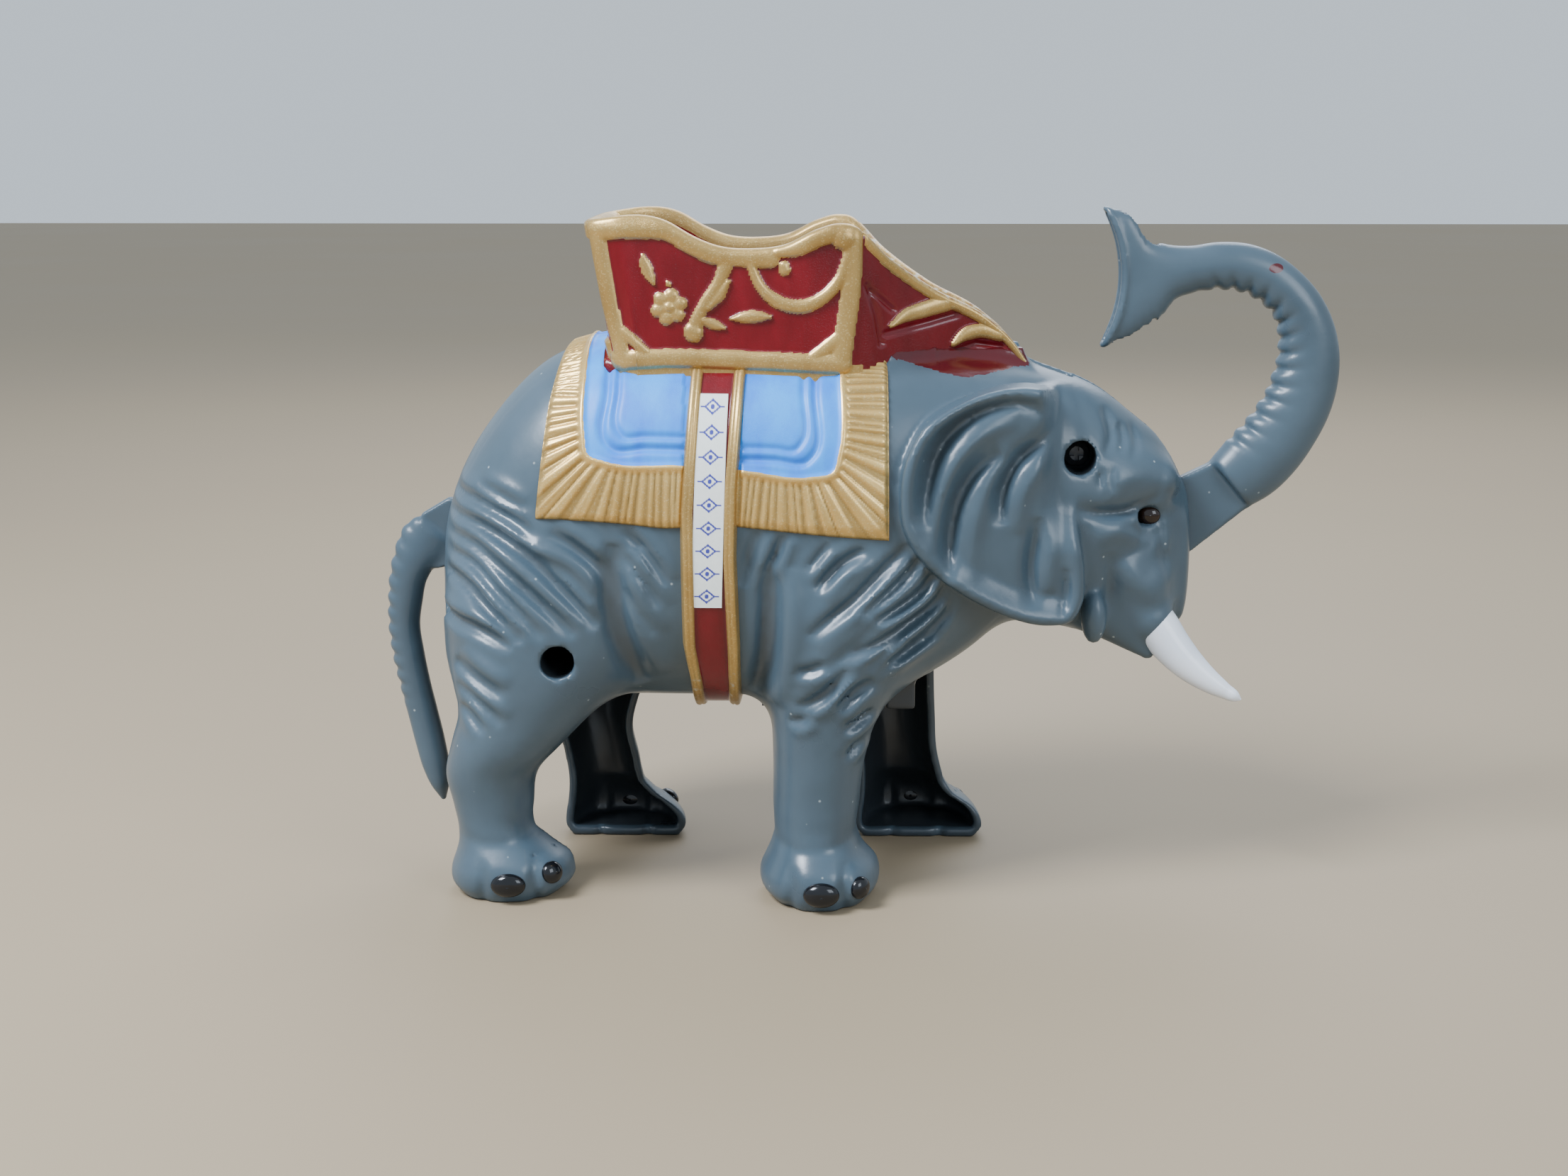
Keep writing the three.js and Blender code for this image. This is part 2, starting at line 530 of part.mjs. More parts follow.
function screwSolid([x, z]) {
  const [shank, head] = [SCREW_SHANK / 2, SCREW_HEAD / 2];
  const profile = [[0, 0], [head * 0.55, 0], [head, SCREW_HEAD_HEIGHT * 0.55],
    [head, SCREW_HEAD_HEIGHT], [shank, SCREW_HEAD_HEIGHT], [shank, SCREW_LENGTH - 1],
    [0, SCREW_LENGTH + 0.6]];
  const turned = new THREE.LatheGeometry(profile.map(([r, y]) => new THREE.Vector2(r, y)), 20);
  const start = -SCREW_SEAT - SCREW_HEAD_HEIGHT - 0.3;
  turned.translate(x, start, z);
  const [arms, thin] = [SCREW_HEAD * 0.28, SCREW_HEAD * 0.09];
  const cross = join(
    box(x - arms, x + arms, start - 1, start + 1.2, z - thin, z + thin),
    box(x - thin, x + thin, start - 1, start + 1.2, z - arms, z + arms));
  return solid(turned).subtract(cross);
}

function trapSolid() {
  const rear = X(TRAP.rear);
  const body = box(rear, trapPivot[0], -TRAP.halfWidth, TRAP.halfWidth, ...trapLevel);
  const barrel = bar(trapPivot, TRAP.thickness, -TRAP.halfWidth, TRAP.halfWidth);
  const reach = trapHalf + TRAP_PEG.length - TRAP_PEG.clearance;
  const pegs = bar(trapPivot, TRAP_PEG.diameter, -reach, reach);
  const lip = box(rear - 0.01, rear + TRAP_LIP.length, -TRAP_LIP.halfWidth, TRAP_LIP.halfWidth,
    trapLevel[0] - TRAP_LIP.drop, trapLevel[1]);
  return join(body, barrel, pegs, lip);
}

// Paper strip that follows the strap, on the right-hand side.
function labelSolid() {
  const steps = 12;
  const rings = [];
  for (let i = 0; i <= steps; i += 1) {
    const share = i / steps;
    const z = Z(LABEL.bottom + share * (LABEL.top - LABEL.bottom));
    const middle = X(-28.6 + 1.2 * share);
    const ring = [];
    for (const [along, level] of [[-1, 0], [1, 0], [1, 1], [-1, 1]]) {
      const x = middle + (along * LABEL.width) / 2;
      const side = torsoSide(x, z, STRAP_RISE) + LABEL.gap + level * LABEL.thickness;
      ring.push([x, -side, z]);
    }
    rings.push(ring);
  }
  return loft(rings);
}

const paints = {
  plastic: { color: 0x56676f, roughness: 0.42, metalness: 0 },
  steel: { color: 0x9a9c9e, roughness: 0.35, metalness: 1 },
  blackSteel: { color: 0x1a1b1d, roughness: 0.4, metalness: 0.6 },
  paper: { color: 0xeef2ee, roughness: 0.8, metalness: 0 },
};

function mesh(name, body, paint) {
  const { vertProperties, triVerts } = body.getMesh();
  const geometry = new THREE.BufferGeometry();
  geometry.setAttribute('position', new THREE.BufferAttribute(vertProperties, 3));
  geometry.setIndex(new THREE.BufferAttribute(triVerts, 1));
  geometry.computeVertexNormals();
  const result = new THREE.Mesh(geometry, new THREE.MeshStandardMaterial(paints[paint]));
  result.name = name;
  return result;
}

const pin = (pivot) => bar(pivot, PIN_DIAMETER, -pinReach, pinReach, 16);

const elephantBank = new THREE.Group();
elephantBank.add(
  mesh('shell_right', shell(-1, RIGHT_REAR_LEG, RIGHT_FRONT_LEG), 'plastic'),
  mesh('shell_left', shell(1, LEFT_REAR_LEG, LEFT_FRONT_LEG), 'plastic'),
  mesh('trunk', trunkSolid(), 'plastic'),
  mesh('tail', lever(sideLimb(TAIL), TAIL_BLADE, TAIL_PIVOT, tailEye), 'plastic'),
  mesh('trunk_pivot_pin', pin(TRUNK_PIVOT), 'steel'),
  mesh('tail_pivot_pin', pin(TAIL_PIVOT), 'steel'),
  mesh('link_wire', wireSolid(), 'steel'),
  mesh('head_screw', screwSolid(HEAD_SCREW), 'blackSteel'),
  mesh('hip_screw', screwSolid(HIP_SCREW), 'blackSteel'),
  mesh('coin_trap', trapSolid(), 'plastic'),
  mesh('label', labelSolid(), 'paper'),
);

export default elephantBank;
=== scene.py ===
import bpy
import numpy as np
from math import radians
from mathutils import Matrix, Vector


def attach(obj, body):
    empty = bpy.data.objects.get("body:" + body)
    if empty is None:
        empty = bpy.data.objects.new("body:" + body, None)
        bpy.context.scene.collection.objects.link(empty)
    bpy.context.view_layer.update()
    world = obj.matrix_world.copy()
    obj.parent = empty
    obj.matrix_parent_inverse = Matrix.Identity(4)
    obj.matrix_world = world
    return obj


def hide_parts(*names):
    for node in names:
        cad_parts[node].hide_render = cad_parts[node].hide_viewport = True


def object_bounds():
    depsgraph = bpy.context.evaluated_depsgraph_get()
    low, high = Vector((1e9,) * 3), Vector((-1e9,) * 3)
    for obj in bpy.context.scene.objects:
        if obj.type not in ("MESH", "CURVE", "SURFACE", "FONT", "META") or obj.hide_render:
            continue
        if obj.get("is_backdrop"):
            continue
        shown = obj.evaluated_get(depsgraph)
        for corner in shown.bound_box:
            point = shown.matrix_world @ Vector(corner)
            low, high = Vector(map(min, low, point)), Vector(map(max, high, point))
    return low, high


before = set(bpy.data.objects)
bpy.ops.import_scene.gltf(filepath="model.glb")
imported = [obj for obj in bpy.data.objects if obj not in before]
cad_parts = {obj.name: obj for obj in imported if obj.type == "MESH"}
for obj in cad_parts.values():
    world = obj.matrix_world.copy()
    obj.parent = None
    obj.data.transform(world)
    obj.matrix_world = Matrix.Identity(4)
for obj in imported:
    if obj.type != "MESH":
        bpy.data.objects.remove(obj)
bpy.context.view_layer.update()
print("frame loaded")

# Lengths below are in millimetres: +x towards the trunk, +z up, floor at z = 0.
# "side" is the distance out from the middle plane; right is -1 and left is +1 along y.
millimetre = 0.001


# Curves and fields

# Hermite curve through the stations, with slopes from their neighbours.
def smoothTable(at, places, values):
    places, values = np.asarray(places, float), np.asarray(values, float)
    slopes = np.gradient(values, places, axis=0)
    inside = np.clip(at, places[0], places[-1])
    index = np.clip(np.searchsorted(places, inside, "right") - 1, 0, len(places) - 2)
    run = places[index + 1] - places[index]
    t = (inside - places[index]) / run
    if values.ndim > 1:
        run, t = run[..., None], t[..., None]
    low, high = values[index], values[index + 1]
    return (low * (2 * t**3 - 3 * t**2 + 1) + high * (3 * t**2 - 2 * t**3)
            + slopes[index] * run * (t**3 - 2 * t**2 + t) + slopes[index + 1] * run * (t**3 - t**2))


# Evenly spaced points on a smooth curve through a few points.
def smoothPath(points, count):
    points = np.asarray(points, float)
    run = np.r_[0, np.cumsum(np.linalg.norm(np.diff(points[:, :2], axis=0), axis=1))]
    return smoothTable(np.linspace(0, run[-1], count), run, points)


# Smooth step from 0 at low to 1 at high: 3t^2 - 2t^3.
def step(value, low, high):
    t = np.clip((value - low) / (high - low), 0, 1)
    return t * t * (3 - 2 * t)


# Union and intersection of two fields (negative inside) with a fillet of size k.
def softUnion(a, b, k):
    h = np.clip(0.5 + 0.5 * (b - a) / k, 0, 1)
    return b + (a - b) * h - k * h * (1 - h)


# Intersection: the union of the two turned inside out, turned back.
def softCut(a, b, k):
    return -softUnion(-a, -b, k)


# Nearest point of a polyline: distance, share of the length there, and the side (+ is left of travel).
def nearLine(x, z, path):
    path = np.asarray(path, float)
    start, run = path[:-1], np.diff(path, axis=0)
    long = np.linalg.norm(run, axis=1)
    reached = np.r_[0, np.cumsum(long)]
    best = np.full(x.shape, 1e9)
    share, hand = np.zeros(x.shape), np.ones(x.shape)
    for k in range(len(start)):
        dx, dz = x - start[k, 0], z - start[k, 1]
        t = np.clip((dx * run[k, 0] + dz * run[k, 1]) / long[k] ** 2, 0, 1)
        away = np.hypot(dx - t * run[k, 0], dz - t * run[k, 1])
        near = away < best
        best = np.where(near, away, best)
        share = np.where(near, (reached[k] + t * long[k]) / reached[-1], share)
        hand = np.where(near, np.sign(run[k, 0] * dz - run[k, 1] * dx + 1e-12), hand)
    return best, share, hand


# Signed distance to a closed outline, negative inside (even-odd crossing test).
def outlineField(x, z, outline):
    outline = np.asarray(outline, float)
    away, _, _ = nearLine(x, z, np.vstack([outline, outline[:1]]))
    inside = np.zeros(x.shape, bool)
    for (x0, z0), (x1, z1) in zip(outline, np.roll(outline, -1, axis=0)):
        crosses = (z0 > z) != (z1 > z)
        inside ^= crosses & (x < x0 + (z - z0) * (x1 - x0) / (z1 - z0 + 1e-12))
    return np.where(inside, -away, away)


# Fold along a curve: a bell across it, wider on one side by lean, fading at both ends, and with
# swell the skin stands up beside it: exp(-(s/w)^2) - swell * exp(-((|s| - 2w) / 1.2w)^2).
def fold(x, z, points, depth, width, lean=0.0, swell=0.0):
    path = smoothPath(points, 14)
    away, share, hand = nearLine(x, z, path)
    taper = np.sin(np.pi * np.clip(share, 0, 1)) ** 0.6
    reach = width * (1 + lean * hand)
    lift = swell * (1 + 0.6 * np.sign(lean) * hand) * np.exp(-((away - 2 * width) / (1.2 * width)) ** 2)
    return depth * taper * (np.exp(-(away / reach) ** 2) - lift)


# Several folds added up.
def folds(x, z, rows, *swell):
    return sum(fold(x, z, *row, *swell) for row in rows)


# Round-ended body along x: (side^n + (height * ratio)^n)^(2/n) - halfWidth^2, made a distance.
# The squares of the half sizes run evenly between stations, so both ends close round.
def roundBody(grid, table, power):
    x, side, z = grid
    table = np.asarray(table, float)
    half = (table[:, 1] - table[:, 2]) / 2
    rows = np.stack([(table[:, 1] + table[:, 2]) / 2, half * abs(half), table[:, 3] * abs(table[:, 3])], 1)
    middle, high2, wide2 = smoothTable(x, table[:, 0], rows).T
    beyond = np.maximum(table[0, 0] - x, x - table[-1, 0]).clip(0)
    wide2 = wide2 - 30 * beyond
    ratio = np.sqrt(np.clip(wide2, 4, None) / np.clip(high2, 4, None))
    tall = abs(z[None, :] - middle[:, None]) * ratio[:, None]
    body = (abs(side)[None, :, None] ** power + tall[:, None, :] ** power) ** (2 / power)
    return asDistance(body - wide2[:, None, None], grid)


# A field divided by the length of its own gradient is close to a distance near its surface.
def asDistance(field, grid, axes=(0, 1, 2)):
    field = field.astype(np.float32)
    slopes = np.gradient(field, *[grid[k] for k in axes], axis=axes)
    slope = np.sqrt(sum(g * g for g in slopes))
    return field / np.maximum(slope, 1e-3)


# Surface of a sampled field: every mixed cell gets one point, the mean of the crossings on its
# edges, and every crossed edge gets one quad between the four cells round it.
def fieldSurface(field, grid):
    shape = np.array(field.shape)
    cells = shape - 1
    inside = field < 0
    total = np.zeros((4, cells.prod()))
    quads = []
    for axis in range(3):
        low = [slice(None)] * 3
        high = [slice(None)] * 3
        low[axis], high[axis] = slice(0, -1), slice(1, None)
        crossed = inside[tuple(low)] != inside[tuple(high)]
        at = np.array(np.nonzero(crossed))
        f0, f1 = field[tuple(low)][crossed], field[tuple(high)][crossed]
        t = f0 / (f0 - f1)
        place = [grid[k][at[k]] for k in range(3)]
        place[axis] = place[axis] + t * (grid[axis][at[axis] + 1] - grid[axis][at[axis]])
        b, c = (axis + 1) % 3, (axis + 2) % 3
        ring = []
        for db, dc in ((-1, -1), (0, -1), (0, 0), (-1, 0)):
            cell = at.copy()
            cell[b] += db
            cell[c] += dc
            index = np.ravel_multi_index(cell, cells)
            ring.append(index)
            for row, value in enumerate([*place, np.ones(len(t))]):
                total[row] += np.bincount(index, value, minlength=total.shape[1])
        ring = np.array(ring).T
        turned = inside[tuple(high)][crossed]
        ring[turned] = ring[turned][:, ::-1]
        quads.append(ring)
    quads = np.vstack(quads)
    used = total[3] > 0
    points = (total[:3, used] / total[3, used]).T
    number = np.cumsum(used) - 1
    return points, number[quads]


# Meshes

# Quads between neighbouring points of a grid, numbered row by row, joined up where it is a loop.
def gridFaces(rows, columns, loopRows=False, loopColumns=False):
    i = np.arange(rows if loopRows else rows - 1)[:, None]
    j = np.arange(columns if loopColumns else columns - 1)[None, :]
    i2, j2 = (i + 1) % rows, (j + 1) % columns
    return np.stack([i * columns + j, i2 * columns + j, i2 * columns + j2, i * columns + j2],
                    -1).reshape(-1, 4)


# Makes the mesh in metres, with its faces outward by the sign of its volume, and any colour map.
def putMesh(name, points, quads, material, body, finish=None):
    points = np.asarray(points, float)
    corner = points[quads]
    volume = np.einsum("ij,ij->i", corner[:, 0], np.cross(corner[:, 1], corner[:, 2]))
    volume = volume.sum() + np.einsum("ij,ij->i", corner[:, 0], np.cross(corner[:, 2], corner[:, 3])).sum()
    if volume < 0:
        quads = quads[:, ::-1]
    mesh = bpy.data.meshes.new(name)
    mesh.vertices.add(len(points))
    mesh.vertices.foreach_set("co", (points * millimetre).astype(np.float32).ravel())
    mesh.loops.add(quads.size)
    mesh.loops.foreach_set("vertex_index", quads.astype(np.int32).ravel())
    mesh.polygons.add(len(quads))
    mesh.polygons.foreach_set("loop_start", np.arange(0, quads.size, 4, dtype=np.int32))
    mesh.update(calc_edges=True)
    mesh.polygons.foreach_set("use_smooth", np.ones(len(quads), bool))
    if finish is not None:
        layer = mesh.color_attributes.new("finish", "FLOAT_COLOR", "POINT")
        rgba = np.ones((len(points), 4), np.float32)
        rgba[:, : finish.shape[1]] = finish
        layer.data.foreach_set("color", rgba.ravel())
    mesh.validate()
    mesh.materials.append(material)
    piece = bpy.data.objects.new(name, mesh)
    bpy.context.scene.collection.objects.link(piece)
    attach(piece, body)
    print(name, len(quads) * 2, "triangles")
    return piece


# Closed tube from rings of points, one ring a row; each end is closed by pairing its points off
# across the ring, so a ring is an outer edge followed by the inner edge the other way.
def putRings(name, rings, material, body, finish=None):
    rows, columns = rings.shape[:2]
    half = np.arange(columns // 2 - 1)
    cap = np.stack([half, half + 1, columns - 2 - half, columns - 1 - half], 1)
    quads = np.vstack([gridFaces(rows, columns, loopColumns=True), cap[:, ::-1],
                       cap + (rows - 1) * columns])
    if finish is not None:
        finish = finish.reshape(rows * columns, -1)
    return putMesh(name, rings.reshape(-1, 3), quads, material, body, finish)


# Slab between an outer and an inner sheet of points, made as rings along its rows.
def putSlab(name, outer, inner, material, body, finish=None):
    rings = np.concatenate([outer, inner[:, ::-1]], 1)
    if finish is not None:
        finish = np.concatenate([finish, finish[:, ::-1] * 0], 1)
    return putRings(name, rings, material, body, finish)


# Materials

# sRGB hex code to linear colour.
def linear(code):
    channel = np.array([int(code[k:k + 2], 16) for k in (1, 3, 5)]) / 255
    return (*np.where(channel <= 0.04045, channel / 12.92, ((channel + 0.055) / 1.055) ** 2.4), 1.0)


# Adds one node: settings go on the node, inputs are values or sockets to link.
def addNode(material, kind, settings=None, inputs=None):
    node = material.node_tree.nodes.new("ShaderNode" + kind)
    for key, value in (settings or {}).items():
        setattr(node, key, value)
    for key, value in (inputs or {}).items():
        if isinstance(value, bpy.types.NodeSocket):
            material.node_tree.links.new(value, node.inputs[key])
        else:
            node.inputs[key].default_value = value
    return node


# Material with an empty node tree.
def newMaterial(name):
    material = bpy.data.materials.new(name)
    material.use_nodes = True
    material.node_tree.nodes.clear()
    return material


# Settings that many nodes share: a mix of two colours, and the colour map of each piece.
colourMix = {"data_type": "RGBA"}
finishMap = {"attribute_name": "finish"}


# Moulded ABS: satin grey-blue, cloudy where handled, fine dust specks, painted shade in the folds
# and painted shade on the inner faces.
def mouldedPlastic(name, look):
    m = newMaterial(name)
    place = addNode(m, "TexCoord").outputs["Object"]
    cloud = addNode(m, "TexNoise", {}, {"Vector": place, "Scale": 1000 / look["cloudSize"], "Detail": 4.0})
    tone = addNode(m, "Mix", colourMix, {0: cloud.outputs["Fac"], 6: linear(look["dark"]),
                                                             7: linear(look["light"])})
    mask = addNode(m, "Attribute", finishMap)
    split = addNode(m, "SeparateColor", {}, {"Color": mask.outputs["Color"]})
    fine = addNode(m, "TexNoise", {}, {"Vector": place, "Scale": 1000 / 2.5, "Detail": 6.0})
    # The colour map's green is painted shade: it darkens the creases and folds towards the painted shade
    # colour, with ragged edges.
    ragged = addNode(m, "Math", {"operation": "MULTIPLY_ADD"},
                     {0: fine.outputs["Fac"], 1: 0.5, 2: split.outputs["Green"]})
    creaseShade = addNode(m, "MapRange", {}, {"Value": ragged.outputs[0], "From Min": 0.55, "From Max": 1.25,
                                        "To Max": 0.55})
    creaseShaded = addNode(m, "Mix", colourMix, {0: creaseShade.outputs[0], 6: tone.outputs[2],
                                          7: linear(look["paintedShade"])})
    dots = addNode(m, "TexVoronoi", {}, {"Vector": place, "Scale": 1000 / look["dustSpacing"],
                                         "Randomness": 1.0})
    speck = addNode(m, "MapRange", {}, {"Value": dots.outputs["Distance"], "From Min": 0.10,
                                        "From Max": 0.03, "To Max": 0.6})
    picked = addNode(m, "SeparateColor", {}, {"Color": dots.outputs["Color"]})
    few = addNode(m, "Math", {"operation": "GREATER_THAN"}, {0: picked.outputs["Red"], 1: 0.72})
    dust = addNode(m, "Math", {"operation": "MULTIPLY"}, {0: speck.outputs[0], 1: few.outputs[0]})
    dusted = addNode(m, "Mix", colourMix, {0: dust.outputs[0], 6: creaseShaded.outputs[2],
                                           7: linear(look["dust"])})
    paintEdge = addNode(m, "Math", {"operation": "MULTIPLY_ADD"},
                        {0: fine.outputs["Fac"], 1: 0.3, 2: split.outputs["Red"]})
    painted = addNode(m, "MapRange", {}, {"Value": paintEdge.outputs[0], "From Min": 0.62,
                                          "From Max": 0.68})
    colour = addNode(m, "Mix", colourMix, {0: painted.outputs[0], 6: dusted.outputs[2],
                                           7: linear(look["paint"])})
    # Painted shade: where the map's blue is low the colour turns to the dark inside colour.
    inner = addNode(m, "Mix", colourMix, {0: split.outputs["Blue"], 6: linear(look["inside"]),
                                          7: colour.outputs[2]})
    rough = addNode(m, "MapRange", {}, {"Value": cloud.outputs["Fac"], "From Min": 0.3, "From Max": 0.7,
                                                "To Min": look["smooth"], "To Max": look["dull"]})
    rougher = addNode(m, "Mix", {"data_type": "FLOAT"}, {0: painted.outputs[0], 2: rough.outputs[0],
                                                         3: 0.2})
    peel = addNode(m, "TexNoise", {}, {"Vector": place, "Scale": 1000 / 0.9, "Detail": 3.0})
    soft = addNode(m, "TexNoise", {}, {"Vector": place, "Scale": 1000 / 9.0, "Detail": 2.0})
    bump = addNode(m, "Bump", {}, {"Height": peel.outputs["Fac"], "Strength": 0.10, "Distance": 0.00012})
    wave = addNode(m, "Bump", {}, {"Height": soft.outputs["Fac"], "Strength": 0.25, "Distance": 0.0006,
                                   "Normal": bump.outputs[0]})
    shade = addNode(m, "BsdfPrincipled", {}, {"Base Color": inner.outputs[2],
                                              "Roughness": rougher.outputs[0],
                                                      "Normal": wave.outputs[0], "IOR": 1.54})
    addNode(m, "OutputMaterial", {}, {"Surface": shade.outputs[0]})
    return m


# Two brushed enamels on moulded plastic: metal-flake gold where the attribute is high, with painted
# glints on a few flakes, a glossy colour elsewhere, with brush streaks, chips and worn edges down to
# the plastic (on the maroon shown pale, a painted reflection), and painted shade where the blue is high.
def brushedEnamel(name, coat):
    m = newMaterial(name)
    place = addNode(m, "TexCoord").outputs["Object"]
    mask = addNode(m, "Attribute", finishMap)
    split = addNode(m, "SeparateColor", {}, {"Color": mask.outputs["Color"]})
    fine = addNode(m, "TexNoise", {}, {"Vector": place, "Scale": 1000 / 1.4, "Detail": 5.0})
    edge = addNode(m, "Math", {"operation": "MULTIPLY_ADD"},
                   {0: fine.outputs["Fac"], 1: 0.3, 2: split.outputs["Red"]})
    gilt = addNode(m, "MapRange", {}, {"Value": edge.outputs[0], "From Min": 0.60, "From Max": 0.70})
    flake = addNode(m, "TexVoronoi", {}, {"Vector": place, "Scale": 1000 / 0.22})
    spark = addNode(m, "SeparateColor", {}, {"Color": flake.outputs["Color"]})
    streak = addNode(m, "TexNoise", {}, {"Vector": addNode(m, "Mapping", {}, {
        "Vector": place, "Scale": coat["brush"]}).outputs[0], "Scale": 1000 / 6.0, "Detail": 5.0})
    goldTone = addNode(m, "Mix", colourMix, {0: streak.outputs["Fac"], 6: linear(coat["goldDark"]),
                                             7: linear(coat["goldLight"])})
    # Painted glints: a few flake cells are lightened towards the pale glint colour.
    flakeGlint = addNode(m, "MapRange", {}, {"Value": spark.outputs["Red"], "From Min": 0.8, "From Max": 1.0,
                                            "To Max": 0.3})
    gold = addNode(m, "Mix", colourMix, {0: flakeGlint.outputs[0], 6: goldTone.outputs[2],
                                         7: linear(coat["flakeGlint"])})
    wash = addNode(m, "MapRange", {}, {"Value": streak.outputs["Fac"], "From Min": 0.35, "From Max": 0.65})
    enamel = addNode(m, "Mix", colourMix, {0: wash.outputs[0], 6: linear(coat["dark"]),
                                           7: linear(coat["light"])})
    coats = addNode(m, "Mix", colourMix, {0: gilt.outputs[0], 6: enamel.outputs[2], 7: gold.outputs[2]})
    # Wear shows the bare colour; on the maroon that colour is pale, a painted reflection.
    wearAndSheenEdge = addNode(m, "Math", {"operation": "MULTIPLY_ADD"},
                       {0: fine.outputs["Fac"], 1: 0.7, 2: split.outputs["Green"]})
    wearAndSheen = addNode(m, "MapRange", {}, {"Value": wearAndSheenEdge.outputs[0], "From Min": 0.86, "From Max": 0.98})
    rubbedAndSheen = addNode(m, "Mix", colourMix, {0: wearAndSheen.outputs[0], 6: coats.outputs[2],
                                           7: linear(coat["bare"])})
    # Painted shade: the map's blue darkens the colour towards the painted shade colour.
    shadeFold = addNode(m, "MapRange", {}, {"Value": split.outputs["Blue"], "To Max": 0.75})
    colour = addNode(m, "Mix", colourMix, {0: shadeFold.outputs[0], 6: rubbedAndSheen.outputs[2],
                                           7: linear(coat["paintedShade"])})
    metal = addNode(m, "Math", {"operation": "MULTIPLY"}, {0: gilt.outputs[0], 1: 0.6})
    bareLess = addNode(m, "Math", {"operation": "SUBTRACT", "use_clamp": True},
                       {0: metal.outputs[0], 1: wearAndSheen.outputs[0]})
    rough = addNode(m, "Mix", {"data_type": "FLOAT"}, {0: gilt.outputs[0], 2: coat["gloss"], 3: 0.31})
    grain = addNode(m, "Bump", {}, {"Height": spark.outputs["Green"], "Strength": coat["flakeBump"],
                                    "Distance": 0.00005})
    lines = addNode(m, "Bump", {}, {"Height": streak.outputs["Fac"], "Strength": 0.3, "Distance": 0.0002,
                                    "Normal": grain.outputs[0]})
    shade = addNode(m, "BsdfPrincipled", {}, {"Base Color": colour.outputs[2],
                                              "Metallic": bareLess.outputs[0],
                                                      "Roughness": rough.outputs[0],
                                              "Normal": lines.outputs[0]})
    addNode(m, "OutputMaterial", {}, {"Surface": shade.outputs[0]})
    return m


# Glossy one-colour enamel or bare metal, with a little unevenness in tone and in gloss.
def simpleFinish(name, look):
    m = newMaterial(name)
    place = addNode(m, "TexCoord").outputs["Object"]
    cloud = addNode(m, "TexNoise", {}, {"Vector": place, "Scale": 1000 / look["patch"], "Detail": 5.0})
    tone = addNode(m, "Mix", colourMix, {0: cloud.outputs["Fac"], 6: linear(look["dark"]),
                                         7: linear(look["light"])})
    rough = addNode(m, "MapRange", {}, {"Value": cloud.outputs["Fac"], "From Min": 0.3, "From Max": 0.7,
                                                "To Min": look["smooth"], "To Max": look["dull"]})
    bump = addNode(m, "Bump", {}, {"Height": cloud.outputs["Fac"], "Strength": look["bump"],
                                   "Distance": 0.0003})
    shade = addNode(m, "BsdfPrincipled", {}, {"Base Color": tone.outputs[2], "Roughness": rough.outputs[0],
                                                      "Metallic": look["metal"], "Normal": bump.outputs[0]})
    addNode(m, "OutputMaterial", {}, {"Surface": shade.outputs[0]})
    return m


# inside is a painted shade colour for the shell's inner faces.
plasticLook = {"dark": "#3b4a54", "light": "#4c5f6c", "inside": "#2a3035", "cloudSize": 16.0,
               "paintedShade": "#3d3a35", "dust": "#b9c2c2",
               "dustSpacing": 3.2, "paint": "#4c0b13", "smooth": 0.26, "dull": 0.40}
# bare is pale: worn spots on the maroon and gold show bare plastic with a painted sky reflection, lighter
# than its own grey.
redGoldLook = {"dark": "#5e0a13", "light": "#74101b", "goldDark": "#96733d", "goldLight": "#d6b36f",
               "flakeGlint": "#f4e0a8",
               "bare": "#b9b5a6", "paintedShade": "#3a1a1c", "gloss": 0.17, "flakeBump": 0.35,
               "brush": (1.0, 1.0, 0.35)}
blueGoldLook = {"dark": "#0079ea", "light": "#0c9cfd", "goldDark": "#c2964c", "goldLight": "#f6d287",
                "flakeGlint": "#fff0c4",
                "bare": "#4c5d68", "paintedShade": "#5a4424", "gloss": 0.42, "flakeBump": 0.3,
                "brush": (1.0, 1.0, 0.25)}
plastic = mouldedPlastic("satinMouldedPlastic", plasticLook)
redGold = brushedEnamel("maroonAndGoldEnamel", redGoldLook)
blueGold = brushedEnamel("blueAndGoldEnamel", blueGoldLook)
tuskEnamel = simpleFinish("whiteGlossEnamel", {"dark": "#d6deea", "light": "#f3f6fb", "patch": 9,
                                               "smooth": 0.14, "dull": 0.26, "bump": 0.12, "metal": 0.0})
blackEnamel = simpleFinish("blackGlossEnamel", {"dark": "#0b0c0f", "light": "#15171b", "patch": 5,
                                                "smooth": 0.08, "dull": 0.2, "bump": 0.15, "metal": 0.0})
# Eye paint is black; its dark brown tone is a painted reflection.
eyeEnamel = simpleFinish("blackEnamelBrownReflection", {"dark": "#150c08", "light": "#2a1a12", "patch": 2,
                                              "smooth": 0.07, "dull": 0.16, "bump": 0.2, "metal": 0.0})
# Blacked steel lightened to mid grey: painted highlight so the screws show in their deep recesses.
litBlackSteel = simpleFinish("blackedSteelLightened", {"dark": "#44474c", "light": "#64676c", "patch": 1.5,
                                           "smooth": 0.3, "dull": 0.5, "bump": 0.3, "metal": 0.7})
brightSteel = simpleFinish("drawnSteelWire", {"dark": "#85888c", "light": "#b4b7ba", "patch": 2.0,
                                              "smooth": 0.22, "dull": 0.4, "bump": 0.2, "metal": 1.0})
print("materials made")


# Shells

shellSizes = {"spacing": 0.66, "wall": 2.4, "legWall": 1.8, "sole": 2.0, "rim": 15.0, "seam": 0.15,
              "slot": 2.2, "lipSlot": 3.9, "recess": 3.2, "recessWall": 4.7, "screwHole": 1.8,
              "pinHole": 1.55}
trunkPivot, tailPivot = (53, 69), (-75, 70)
headScrew, hipScrew = (42.4, 86.4), (-57.2, 48.9)

